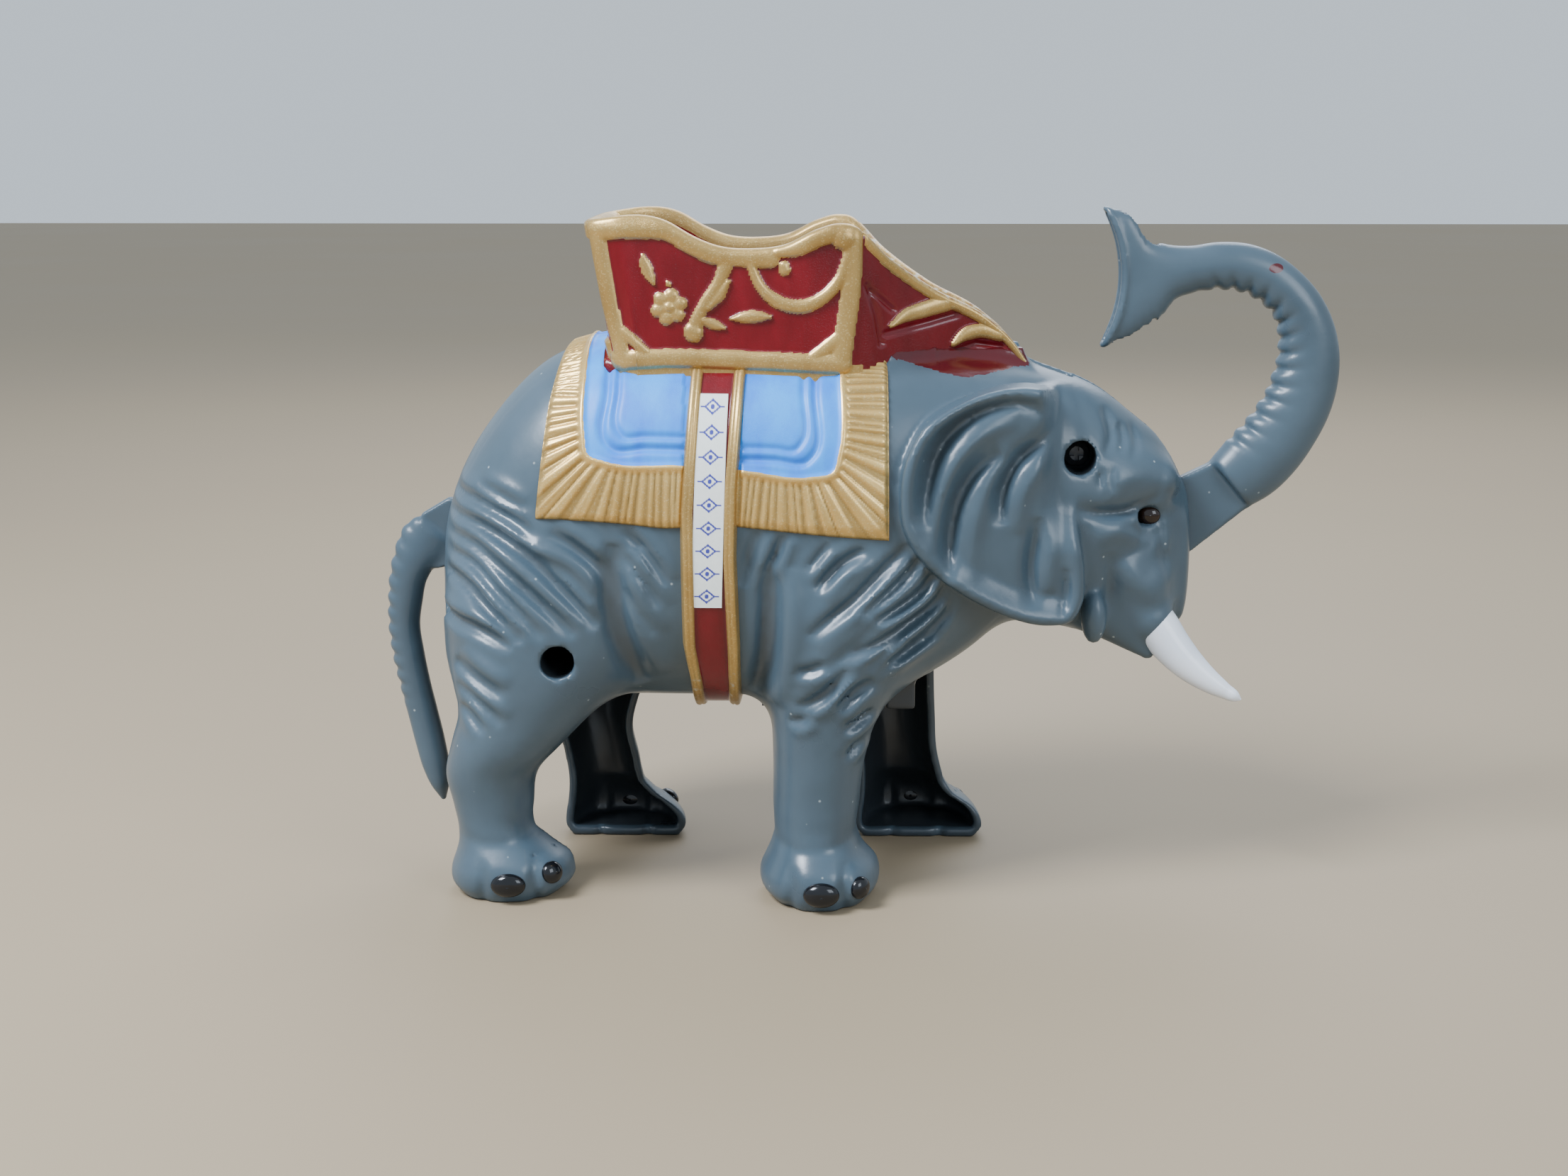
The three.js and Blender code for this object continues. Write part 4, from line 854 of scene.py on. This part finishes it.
trunkGrid = gridOf(46.5, 96.5, -5.6, 5.6, 58, 134, 0.45)
field, tx, tz, across = leverField(trunkGrid, trunkPart)
lip = np.hypot(tx - 25.2, tz - 119.7) - 26
field = field - (0.4 * np.exp(-((lip - 0.9) / 0.55) ** 2))[:, None, :]
field = np.maximum(field, -lip[:, None, :])
field = np.maximum(field, -np.maximum(np.maximum(tx - 58.4, abs(tz - 119.7) - 12.5)[:, None, :],
                                      across - 1.2))
points, quads = fieldSurface(field, trunkGrid)
splash = np.hypot((points[:, 0] - 81) * 0.9 + (points[:, 2] - 121.6) * 0.5,
                  (points[:, 2] - 121.6) * 1.5 - (points[:, 0] - 81) * 0.4)
finish = np.stack([1.05 - splash / 2.6, splash * 0, splash * 0 + 1], 1).clip(0, 1)
trunk = putMesh("trunk_skin", points, quads, plastic, "trunk_lever", finish)
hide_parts("trunk")

tailGrid = gridOf(-96, -63.4, -4, 4, 11.5, 78, 0.42)
field = leverField(tailGrid, tailPart)[0]
points, quads = fieldSurface(field, tailGrid)
finish = np.zeros((len(points), 3)) + [0, 0, 1]
tail = putMesh("tail_skin", points, quads, plastic, "tail_lever", finish)
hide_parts("tail")
print("levers done")


# Blanket, strap and label

# Middle height, half height and half width of the torso's section at x.
def torsoSection(x):
    table = np.asarray(shellShape["torso"], float)
    half = (table[:, 1] - table[:, 2]) / 2
    rows = np.stack([(table[:, 1] + table[:, 2]) / 2, half * abs(half), table[:, 3] * abs(table[:, 3])], 1)
    middle, high2, wide2 = np.moveaxis(smoothTable(x, table[:, 0], rows), -1, 0)
    return middle, np.sqrt(high2.clip(0.04)), np.sqrt(wide2.clip(0.04))


# Point at an angle round the torso's section (0 is level, 90 degrees the top), lifted off it:
# side = wide * cos^(2/n), up = high * sin^(2/n), along (cos^(2-2/n) / wide, sin^(2-2/n) / high).
def onTorso(x, angle, rise, power=2.6):
    middle, high, wide = torsoSection(x)
    c, s = np.cos(angle), np.sin(angle)
    side = wide * abs(c) ** (2 / power)
    up = high * np.sign(s) * abs(s) ** (2 / power)
    ny = abs(c) ** (2 - 2 / power) / wide
    nz = np.sign(s) * abs(s) ** (2 - 2 / power) / high
    size = np.hypot(ny, nz)
    return side + rise * ny / size, middle + up + rise * nz / size


# Angles with even steps of length round the section at x.
def evenAngles(x, start, end, count):
    angle = np.linspace(start, end, 2000)
    side, z = onTorso(np.full(2000, float(x)), angle, 0)
    run = np.r_[0, np.cumsum(np.hypot(np.diff(side), np.diff(z)))]
    return np.interp(np.linspace(0, run[-1], count), run, angle)


blanketShape = {
    "edge": {"rear": [[72, 78.5, 98, 106.8, 130], [-61.4, -61, -58.8, -57.2, -57]],
             "front": [[72, 85, 130], [5.6, 5.5, 5.2]],
                   "bottom": [[-62, -52, -34.3, -22.6, -3.7, 6], [77.4, 76.7, 74.9, 75.4, 73.3, 72.4]]},
    "panel": [[-52.2, 140], [-52.2, 104], [-52.0, 92], [-51.2, 88.2], [-47.4, 86.8], [-33, 86.2],
              [-22, 85.4], [-9, 84.2],
                 [-4.6, 85.2], [-3.4, 89], [-3.2, 104], [-3.2, 140]],
    "ribs": [[-52, 140], [-52, 104], [-51.8, 96], [-50.2, 91.2], [-46.6, 87.8], [-42, 86.7], [-33, 86.2],
             [-22, 85.4], [-13, 84.8],
               [-8, 85.8], [-4.6, 89.2], [-3.3, 95], [-3.2, 104], [-3.2, 140]],
    "grooves": [
        ([[-47.5, 112], [-47.4, 100], [-47.3, 90.6], [-46.4, 89.8], [-40, 89.8], [-30, 89.6]], 0.75, 0.7),
        ([[-45.4, 112], [-45.3, 100], [-45.2, 93], [-44.4, 92.1], [-40, 92], [-30, 91.8]], 0.5, 0.6),
        ([[-8.2, 112], [-8.4, 100], [-8.8, 88.6], [-9.8, 87.6], [-16, 87.8], [-26, 88.0]], 0.75, 0.7),
        ([[-10.5, 112], [-10.6, 100], [-10.8, 91.0], [-11.8, 89.8], [-16, 89.9], [-26, 90.2]], 0.5, 0.6)]}

across, down = np.linspace(0, 1, 200)[:, None], 168
top = np.pi / 2 - 0.004
x0 = -57.4 + 62.8 * across
middle, high, _ = torsoSection(x0)
bottom = np.interp(x0, *blanketShape["edge"]["bottom"])
lowest = np.arcsin(np.clip((bottom - middle) / high, 0.0005, 1) ** 1.3)
shareDown = (evenAngles(-26, top, 0.09, down) - top) / (0.09 - top)
angle = top + (lowest - top) * shareDown[None, :]
x0 = np.broadcast_to(x0, angle.shape)
_, z = onTorso(x0, angle, 1.0)
rear, front = np.interp(z, *blanketShape["edge"]["rear"]), np.interp(z, *blanketShape["edge"]["front"])
x = rear + (front - rear) * across
side, z = onTorso(x, angle, 1.0)
w = z + (22 - side).clip(0) * 0.8
path = smoothPath(blanketShape["panel"], 160)
away, _, hand = nearLine(x, w, path)
outward = -hand * away
fan = smoothPath(blanketShape["ribs"], 200)
_, share, _ = nearLine(x, w, fan)
beat = share * np.hypot(*np.diff(fan, axis=0).T).sum() / 1.35
rib = (0.5 + 0.5 * np.cos(2 * np.pi * (beat + 0.12 * np.sin(beat * 2.3)))) ** 0.65
fringe = step(outward, 0.3, 1.1)
bead = np.exp(-((outward + 0.15) / 0.6) ** 2)
groove = sum(d * np.exp(-(nearLine(x, w, smoothPath(p, 40))[0] / k) ** 2) for p, d,
             k in blanketShape["grooves"]) * (outward < -0.5)
rise = 1.25 + 0.55 * bead - groove + fringe * (0.55 * rib - 0.35)
edge = np.minimum(np.minimum(across, 1 - across) * 63, (1 - shareDown[None, :]) * 48 + 0 * across)
rise = 0.2 + (rise - 0.2) * np.sqrt(np.clip(edge / 0.9, 0, 1))
rise = np.where((x > -33) & (x < -22), np.minimum(rise, 0.9), rise)
outerSide, outerZ = onTorso(x, angle, rise)
innerSide, innerZ = onTorso(x, angle, -0.6)
gold = step(outward, -0.75, -0.35)
# Blue: painted shade in the valleys between the fringe ribs and in the grooves.
blanketFinish = np.stack([gold, 0.25 * gold * (1 - edge.clip(0, 1)),
                          fringe * (1 - rib) * 0.75 + groove * 0.12], -1)
for s in (-1, 1):
    putSlab(f"blanket_{names[s]}", np.stack([x, s * outerSide.clip(0.15), outerZ], -1),
            np.stack([x, s * innerSide.clip(0.15), innerZ], -1), blueGold, "body", blanketFinish)

# Girth strap: two gilt beads with a maroon band between, from under the howdah to the belly seam.
strapEdges = {"left": [[30, 43.9, 51.9, 77.9, 105.1], [-32, -32.4, -33.4, -33.6, -31.9]],
              "right": [[30, 43.5, 51.9, 69.3, 82.3, 104.3], [-23, -22.4, -22.4, -23, -22.7, -21.1]]}
across = np.linspace(0, 1, 64)[None, :]
angle = evenAngles(-27, 1.15, -np.pi / 2 + 0.004, 300)[:, None]
side, z = onTorso(np.full(angle.shape, -27.0), angle, 1.5)
left, right = np.interp(z, *strapEdges["left"]), np.interp(z, *strapEdges["right"])
x = left + (right - left) * across
fromEdge = np.minimum(across, 1 - across) * (right - left)
cord = np.clip(1 - ((fromEdge - 1.25) / 1.25) ** 2, 0, 1) ** 0.5
line = np.exp(-((fromEdge - 1.5) / 0.22) ** 2)
rise = 0.25 + 1.1 * step(fromEdge, 0, 0.6) + 0.85 * cord - 0.18 * line
outerSide, outerZ = onTorso(x, angle + 0 * across, rise)
innerSide, innerZ = onTorso(x, angle + 0 * across, -0.6)
gold = 1 - step(fromEdge, 2.2, 2.7)
# Wear, more towards the bottom of the strap, shown in the pale bare colour, a painted reflection.
strapWearAndSheen = 0.35 * step(z, 56, 44) + 0.12
# Blue: painted shade in the groove beside each gilt bead.
strapFinish = np.stack([gold, strapWearAndSheen * gold, 0.35 * np.exp(-((fromEdge - 2.6) / 0.35) ** 2)], -1)
for s in (-1, 1):
    putSlab(f"strap_{names[s]}", np.stack([x, s * outerSide.clip(0.15), outerZ], -1),
            np.stack([x, s * innerSide.clip(0.15), innerZ], -1), redGold, "body", strapFinish)

# Paper label on the right-hand side, printed with a column of plain lozenges and dots.
labelShape = {"left": [[60.2, 98.7], [-31.6, -30.2]], "right": [[60.2, 98.8], [-25.8, -24.6]], "marks": 9}
paper = newMaterial("labelPaper")
mask = addNode(paper, "SeparateColor", {}, {"Color": addNode(paper, "Attribute",
                                                             finishMap).outputs["Color"]})
fibre = addNode(paper, "TexNoise", {}, {"Vector": addNode(paper, "TexCoord").outputs["Object"],
                                        "Scale": 1000 / 1.2, "Detail": 6.0})
ground = addNode(paper, "Mix", colourMix, {0: fibre.outputs["Fac"], 6: linear("#dfe5e0"),
                                           7: linear("#f4f6f2")})
ink = addNode(paper, "Mix", colourMix, {0: mask.outputs["Red"], 6: ground.outputs[2], 7: linear("#3a3f9a")})
paperShade = addNode(paper, "BsdfPrincipled", {}, {"Base Color": ink.outputs[2], "Roughness": 0.45})
addNode(paper, "OutputMaterial", {}, {"Surface": paperShade.outputs[0]})
across = np.linspace(0, 1, 48)[None, :]
middle, high, _ = torsoSection(np.array(-28.0))
z = np.linspace(60.2, 98.7, 280)[:, None]
angle = np.arcsin(np.sign((z - middle) / high) * abs((z - middle) / high) ** 1.3)
left, right = np.interp(z, *labelShape["left"]), np.interp(z, *labelShape["right"])
x = left + (right - left) * across
place = (z - 60.2) / 38.5 * labelShape["marks"]
inCell = (place - np.floor(place) - 0.5) * 38.5 / labelShape["marks"]
offX = (across - 0.5) * 5.8
lozenge = abs(abs(offX) * 0.8 + abs(inCell) - 1.15) < 0.22
dot = np.hypot(offX, inCell) < 0.42
dash = (abs(inCell) < 0.16) & (abs(abs(offX) - 1.95) < 0.35)
marks = (lozenge | dot | dash) * 1.0
outerSide, outerZ = onTorso(x, angle + 0 * across, 1.62)
innerSide, innerZ = onTorso(x, angle + 0 * across, 1.36)
label = putSlab("label_strip", np.stack([x, -outerSide, outerZ], -1), np.stack([x, -innerSide, innerZ], -1),
                paper, "body",
                np.stack([marks, marks * 0, marks * 0], -1))
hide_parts("label")
print("blanket, strap and label done")


# Howdah

# Height of a raised bead along a curve: high * sqrt(1 - (away / width)^2), the width from stations.
def raised(x, z, points, widths, high):
    path = smoothPath(points, 24) if len(points) > 2 else np.asarray(points, float)
    away, share, _ = nearLine(x, z, path)
    width = np.interp(share, np.linspace(0, 1, len(widths)), widths)
    return high * np.sqrt(np.clip(1 - (away / width) ** 2, 0, 1))


howdahShape = {
    "plan": [[-51.6, 0.15], [-51.5, 10], [-51.2, 17], [-50.2, 20.6], [-46.8, 22], [-40, 22.2], [-24, 22.2],
             [-4, 22.2], [-1, 21.6],
                  [2, 20], [6, 16.6], [10, 13.6], [15, 11.0], [20, 9.2], [27, 7.8], [33.4, 7]],
    "rail": [[-54, 131.4], [-36, 131.4], [-31, 128.6], [-27, 127], [-20, 126.4], [-14, 127.2], [-8, 130],
             [-4, 131], [-1, 130.6],
                  [5, 125], [13.7, 118.7], [25, 112.4], [30, 107.8], [33.6, 102.6]]}
ornaments = [
    ([[-50.4, 129.5], [-41.5, 129.9], [-35.8, 129.5], [-31.2, 126.9], [-27.4, 125.2], [-20.9, 124.7],
      [-17, 124.6]], [1.9, 1.8, 1.9, 1.9, 1.8, 2.0], 0.95),
    ([[-15.4, 125.8], [-12.1, 126.4], [-8.3, 128.2], [-5, 129], [-2.4, 128.6]], [1.2, 1.6, 1.8, 1.8, 1.9],
     1.0),
    ([[-3.2, 128.3], [-3.0, 128.2]], [2.3, 2.3], 1.35),
    ([[-14.3, 123.2], [-14.1, 122.4]], [1.0, 1.1], 0.8),
    ([[-20.4, 123.4], [-19.2, 120.2], [-17.1, 117.6], [-13.8, 115.9], [-10.5, 115.7], [-6.5, 117.6],
      [-3.8, 120.8], [-2.4, 125]],
     [0.9, 1.0, 1.3, 1.4, 1.2, 1.1, 1.0], 0.85),
    ([[-1.4, 128], [-1.9, 118], [-2.8, 111], [-3.6, 105]], [1.9, 1.9, 1.9, 2.0], 0.9),
    ([[-3.6, 109.8], [-8.6, 106.2]], [1.5, 1.2], 0.75),
    ([[-49.4, 128.4], [-47.4, 118], [-45.0, 108], [-44.4, 105]], [1.8, 1.6, 1.5, 1.6], 0.9),
    ([[-44.4, 110.8], [-40.4, 107.2]], [1.1, 1.0], 0.85),
    ([[-45.6, 105.4], [-40, 105.8], [-20, 105.5], [-8, 105], [-3.4, 104.8]], [1.9, 1.8, 1.8, 1.8, 1.9],
     0.9),
    ([[-25.0, 123.8], [-26.6, 119.8], [-28.6, 116.8], [-30.3, 113.8], [-31.3, 110.9]],
     [1.5, 1.2, 1.2, 1.2, 1.6], 0.75),
    ([[-24.7, 120.2], [-26.2, 117.8], [-28.4, 115.4]], [0.5, 1.1, 0.7], 0.8),
    ([[-31.4, 110.9], [-31.2, 110.6]], [1.8, 1.8], 0.95),
    ([[-29.9, 113.2], [-27.6, 112.3], [-25.2, 111.5]], [0.3, 0.9, 1.1, 0.8, 0.2], 0.7),
    ([[-24.1, 113.3], [-20.5, 113.7], [-16.8, 113.7]], [0.3, 1.0, 1.25, 1.1, 0.4], 0.75),
    ([[-40.7, 125.1], [-39.9, 122.6], [-38.6, 119.7]], [0.4, 1.0, 1.15, 0.9, 0.3], 0.7),
    ([[-36.0, 120], [-35.8, 119.7]], [0.5, 0.5], 0.5)]
ornaments += [([[-35.8 + 2.15 * np.cos(k), 115.5 + 2.15 * np.sin(k)],
                [-35.8 + 1.9 * np.cos(k), 115.5 + 1.9 * np.sin(k)]], [1.4, 1.4], 0.85)
              for k in np.arange(6) * np.pi / 3 + 0.3]
ornaments += [([[-35.9, 115.5], [-35.7, 115.5]], [1.15, 1.15], 1.15)]
rampOrnaments = [
    ([[5.9, 111.6], [8.6, 113.2], [12.5, 114.3], [16.6, 115.4]], [0.5, 1.4, 1.6, 1.7], 0.8),
    ([[18.2, 107.5], [20.6, 109.3], [23.4, 109.9], [27.2, 109.0]], [0.6, 1.4, 1.4, 1.2], 0.8)]
rampCuts = [
    ([[5.2, 110.2], [9.4, 111.0], [13.6, 111.9], [18.6, 113.2]], 0.55, 0.6),
    ([[18.0, 105.9], [22.6, 107.5], [27.6, 106.8]], 0.5, 0.55),
    ([[1.4, 119.4], [3.2, 114], [4.2, 108.4]], 0.5, 0.55),
    ([[2.2, 118.4], [6.4, 114.6]], 0.5, 0.5)]

plan = smoothPath(howdahShape["plan"], 330)
tangent = np.gradient(plan, axis=0)
normal = np.stack([-tangent[:, 1], tangent[:, 0]], 1) / np.hypot(*tangent.T)[:, None]
px, ps = plan[:, 0][:, None], plan[:, 1][:, None]
railTop = smoothTable(px, *np.asarray(howdahShape["rail"], float).T)
middle, high, wide = torsoSection(px)
base = middle + high * (1 - (ps / wide).clip(0, 0.98) ** 2.6) ** (1 / 2.6) - 1.0
outUp = np.linspace(0, 1, 110)[None, :]
thick = 2.4 - 0.9 * step(px, 4, 30)
cap = thick / 2
z = base + (railTop - cap - base) * outUp
rearness = ((-42 - px) / 4).clip(0, 1)
leanBy = rearness * 0.16 * (131 - z)
wallX = px + leanBy
onSide = step(px, -51, -50.4)
relief = np.zeros(z.shape)
for line, widths, tall in ornaments:
    relief = np.maximum(relief, raised(wallX, z, line, widths, tall) * (px < 0.6) * onSide)
backEdge = np.maximum(0.9 * step(z, 127.3, 128.4), 0.9 * (1 - step(z, 108.4, 109.6))) * (1 - onSide)
relief = np.maximum(relief, backEdge)
ramp = px > 0.6
rim = 0.75 * np.sqrt(np.clip(1 - ((railTop - cap - z) / 1.5) ** 2, 0, 1)) * ramp
relief = np.maximum(relief, rim)
for line, widths, tall in rampOrnaments:
    relief = np.maximum(relief, raised(wallX, z, line, widths, tall) * ramp)
cuts = sum(d * np.exp(-(nearLine(wallX, z, line)[0] / k) ** 2) for line, d, k in rampCuts) * ramp
gold = np.maximum(step(relief, 0.04, 0.2), step(z, 104.8, 104.4) * onSide * (px < 0.6))
relief = relief - cuts
outside = np.stack([wallX + relief * normal[:, :1], ps + relief * normal[:, 1:], z], -1)
turn = np.linspace(0, np.pi, 9)[None, 1:-1]
capX = px - normal[:, :1] * cap * (1 - np.cos(turn)) + relief[:, -1:] * normal[:, :1] * np.cos(turn / 2)
capS = ps - normal[:, 1:] * cap * (1 - np.cos(turn)) + relief[:, -1:] * normal[:, 1:] * np.cos(turn / 2)
capZ = railTop - cap + cap * np.sin(turn)
capX = capX + rearness * 0.16 * (131 - capZ)
inX = px - normal[:, :1] * thick
inS = ps - normal[:, 1:] * thick
inZ = (base + (railTop - cap - base) * np.linspace(1, 0, 24)[None, :])
inside = np.stack([inX + rearness * 0.16 * (131 - inZ), inS + 0 * inZ, inZ], -1)
rings = np.concatenate([outside, np.stack([capX, capS, capZ], -1), inside], 1)
# Wear, more on the rear wall and along the rim tops, shown in the pale bare colour, a painted reflection.
wearAndSheen = 0.14 * (1 - onSide) + 0.10 + 0 * z
capGold = np.ones(capX.shape) * np.where(px < 1, 1.0, 0.55)
capWearAndSheen = np.where(px > 2, 0.5, 0.28) + 0 * capX
inGold = step(inZ, railTop - 3.2, railTop - 2.2)
# Blue: painted shade on the inner face of the wall.
finish = np.concatenate([
    np.stack([gold, wearAndSheen, 0 * z], -1), np.stack([capGold, capWearAndSheen, capX * 0], -1),
    np.stack([inGold, 0.12 + 0 * inZ, 0.25 + 0 * inZ], -1)], 1)
if rings.shape[1] % 2:
    rings, finish = rings[:, :-1], finish[:, :-1]
for s in (-1, 1):
    wall = rings * [1, s, 1]
    wall[..., 1] = s * rings[..., 1].clip(0.15)
    putRings(f"howdah_wall_{names[s]}", wall, redGold, "body", finish)

# Floor of the howdah and of the ramp, open over the trunk's slot.
x = np.linspace(-48.5, 31, 120)[:, None]
reach = np.interp(x, [-48.5, -47, -2, 2, 10, 20, 34], [19.6, 20.6, 20.8, 18.8, 12.4, 8.2, 6.2])
start = 0.15 + 3.75 * step(x, 5.4, 5.9)
sideway = start + (reach - start) * np.linspace(0, 1, 30)[None, :]
middle, high, wide = torsoSection(x)
z = middle + high * (1 - (sideway / wide).clip(0, 0.98) ** 2.6) ** (1 / 2.6)
x = x + 0 * z
lift = 2.5 - 2.05 * step(x, 4, 14)
# The floor's blue of 0.2 is painted shade.
for s in (-1, 1):
    putSlab(f"howdah_floor_{names[s]}", np.stack([x, s * sideway, z + lift], -1),
            np.stack([x, s * sideway, z - 0.4], -1), redGold,
            "body", np.zeros((*x.shape, 3)) + [0, 0.1, 0.2])
print("howdah done")


# Tusks, toes and eyes

tuskStations = [[55.5, 8.5, 56, 4.4], [59, 9.8, 52.2, 4.3], [62, 11, 48.2, 3.9], [65.2, 12, 44.8, 3.3],
                [68.8, 12.9, 41.9, 2.5],
                [72.5, 13.6, 39.6, 1.6], [75.0, 14, 38.3, 0.75], [75.6, 14.1, 38.0, 0.15]]
table = np.asarray(tuskStations, float)
run = np.r_[0, np.cumsum(np.linalg.norm(np.diff(table[:, :3], axis=0), axis=1))]
rows = smoothTable(np.linspace(0, run[-1], 90), run, table)
direction = np.gradient(rows[:, :3], axis=0)
direction /= np.linalg.norm(direction, axis=1)[:, None]
first = np.cross(direction, [0, 1, 0])
first /= np.linalg.norm(first, axis=1)[:, None]
second = np.cross(direction, first)
turn = np.linspace(0, 2 * np.pi, 48, endpoint=False)
ragged = 0.25 * np.sin(3 * turn + 0.6) + 0.15 * np.sin(7 * turn)
outward = first[:, None] * np.cos(turn)[:, None] + second[:, None] * np.sin(turn)[:, None]
shape = rows[:, 3].clip(0.05)[:, None, None] * outward
rings = rows[:, None, :3] + shape
for s in (-1, 1):
    putRings(f"tusk_{names[s]}", rings * [1, s, 1] - [0.4 + 0.4 * s, 0, 0.7 + 0.7 * s], tuskEnamel, "body")


# Ellipsoid set into the skin: centred under the side-view point, its short axis along the normal.
def putDome(name, centre, radii, sink, side, material):
    x, z = centre
    height = readMap(heights[side], np.array([x, x + 0.8, x - 0.8, x, x]),
                     np.array([z, z, z, z + 0.8, z - 0.8]))
    out = np.array([-(height[1] - height[2]) / 1.6, 1, -(height[3] - height[4]) / 1.6])
    out /= np.linalg.norm(out)
    level = np.cross(out, [0, 0, 1])
    level /= np.linalg.norm(level)
    up = np.cross(level, out)
    v = np.linspace(0.02, np.pi - 0.02, 26)[:, None, None]
    u = np.linspace(0, 2 * np.pi, 40, endpoint=False)[None, :, None]
    body = radii[0] * np.cos(u) * np.sin(v) * level + radii[2] * np.sin(u) * np.sin(v) * up
    body = body + radii[1] * np.cos(v) * out
    points = np.array([x, height[0] - sink, z]) + body
    putRings(name, points * [1, side, 1], material, "body")


toePlaces = {-1: {"rear_big": ((-67.8, 4.0), (3.4, 1.7, 2.4)),
                  "rear_small": ((-59.6, 5.6), (2.4, 1.5, 2.2)),
                  "front_big": ((-6.9, 3.9), (3.5, 1.8, 2.5)),
                  "front_small": ((0.6, 4.4), (2.4, 1.5, 2.2))},
             1: {"rear_big": ((-48.8, 4.0), (3.5, 1.8, 2.5)), "rear_small": ((-40.0, 5.6), (2.4, 1.5, 2.2)),
                 "front_big": ((12.6, 3.9), (3.5, 1.8, 2.5)),
                 "front_small": ((22.6, 4.4), (2.4, 1.5, 2.2))}}
for side, toes in toePlaces.items():
    for name, (centre, radii) in toes.items():
        putDome(f"toe_{name}_{names[side]}", centre, radii, 0.15, side, blackEnamel)
    putDome(f"eye_{names[side]}", (56.9, 74.2), (2.2, 1.5, 1.95), -0.3, side, eyeEnamel)

dressing = {"head_screw": (litBlackSteel, "black_steel"), "hip_screw": (litBlackSteel, "black_steel"),
            "link_wire": (brightSteel, "zinc_steel"),
            "trunk_pivot_pin": (brightSteel, "zinc_steel"), "tail_pivot_pin": (brightSteel, "zinc_steel"),
            "coin_trap": (plastic, "grey_plastic")}
for name, (material, slotName) in dressing.items():
    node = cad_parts[name]
    node.data.materials.clear()
    node.data.materials.append(material)
    coat = node.data.color_attributes.new("finish", "FLOAT_COLOR", "POINT")
    coat.data.foreach_set("color", np.tile([0.0, 0.0, 1.0, 1.0], len(node.data.vertices)))
print("small pieces done")

# Camera
camera = bpy.data.objects.new("camera", bpy.data.cameras.new("camera"))
bpy.context.scene.collection.objects.link(camera)
camera.location = (-0.0069, -0.4481, 0.1494)
camera.rotation_euler = (radians(90 - 11.62), 0, radians(0.99))
camera.data.lens = 52.0
camera.data.sensor_width = 36.0
camera.data.clip_start = 0.01
bpy.context.scene.camera = camera

floorMesh = bpy.data.meshes.new("floor")
floorMesh.from_pydata([(-3, -3, 0), (3, -3, 0), (3, 3, 0), (-3, 3, 0)], [], [(0, 1, 2, 3)])
floor = bpy.data.objects.new("floor", floorMesh)
bpy.context.scene.collection.objects.link(floor)
floorMesh.materials.append(simpleFinish("paleFloor", {"dark": "#94836a", "light": "#a08f75", "patch": 300,
                                                      "smooth": 0.6, "dull": 0.7, "bump": 0.0,
                                                      "metal": 0.0}))
floor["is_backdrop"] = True

world = bpy.data.worlds.new("studio")
bpy.context.scene.world = world
world.use_nodes = True
world.node_tree.nodes["Background"].inputs["Color"].default_value = linear("#d3e0ec")
world.node_tree.nodes["Background"].inputs["Strength"].default_value = 1.06

lights = {"key": ((-0.42, -0.30, 0.62), 0.28, 11.5, "#eaf2ff"),
          "fill": ((0.55, -0.55, 0.45), 0.4, 3.2, "#dfe9f5"),
          "back": ((0.1, 0.6, 0.6), 0.6, 4.4, "#eef4ff")}
for name, (place, size, power, tint) in lights.items():
    lamp = bpy.data.objects.new(name, bpy.data.lights.new(name, "AREA"))
    bpy.context.scene.collection.objects.link(lamp)
    lamp.location = place
    lamp.data.size = size
    lamp.data.energy = power
    lamp.data.color = linear(tint)[:3]
    aim = np.array([0, 0, 0.06]) - np.array(place)
    lamp.rotation_euler = Vector(aim).to_track_quat("-Z", "Y").to_euler()

low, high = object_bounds()
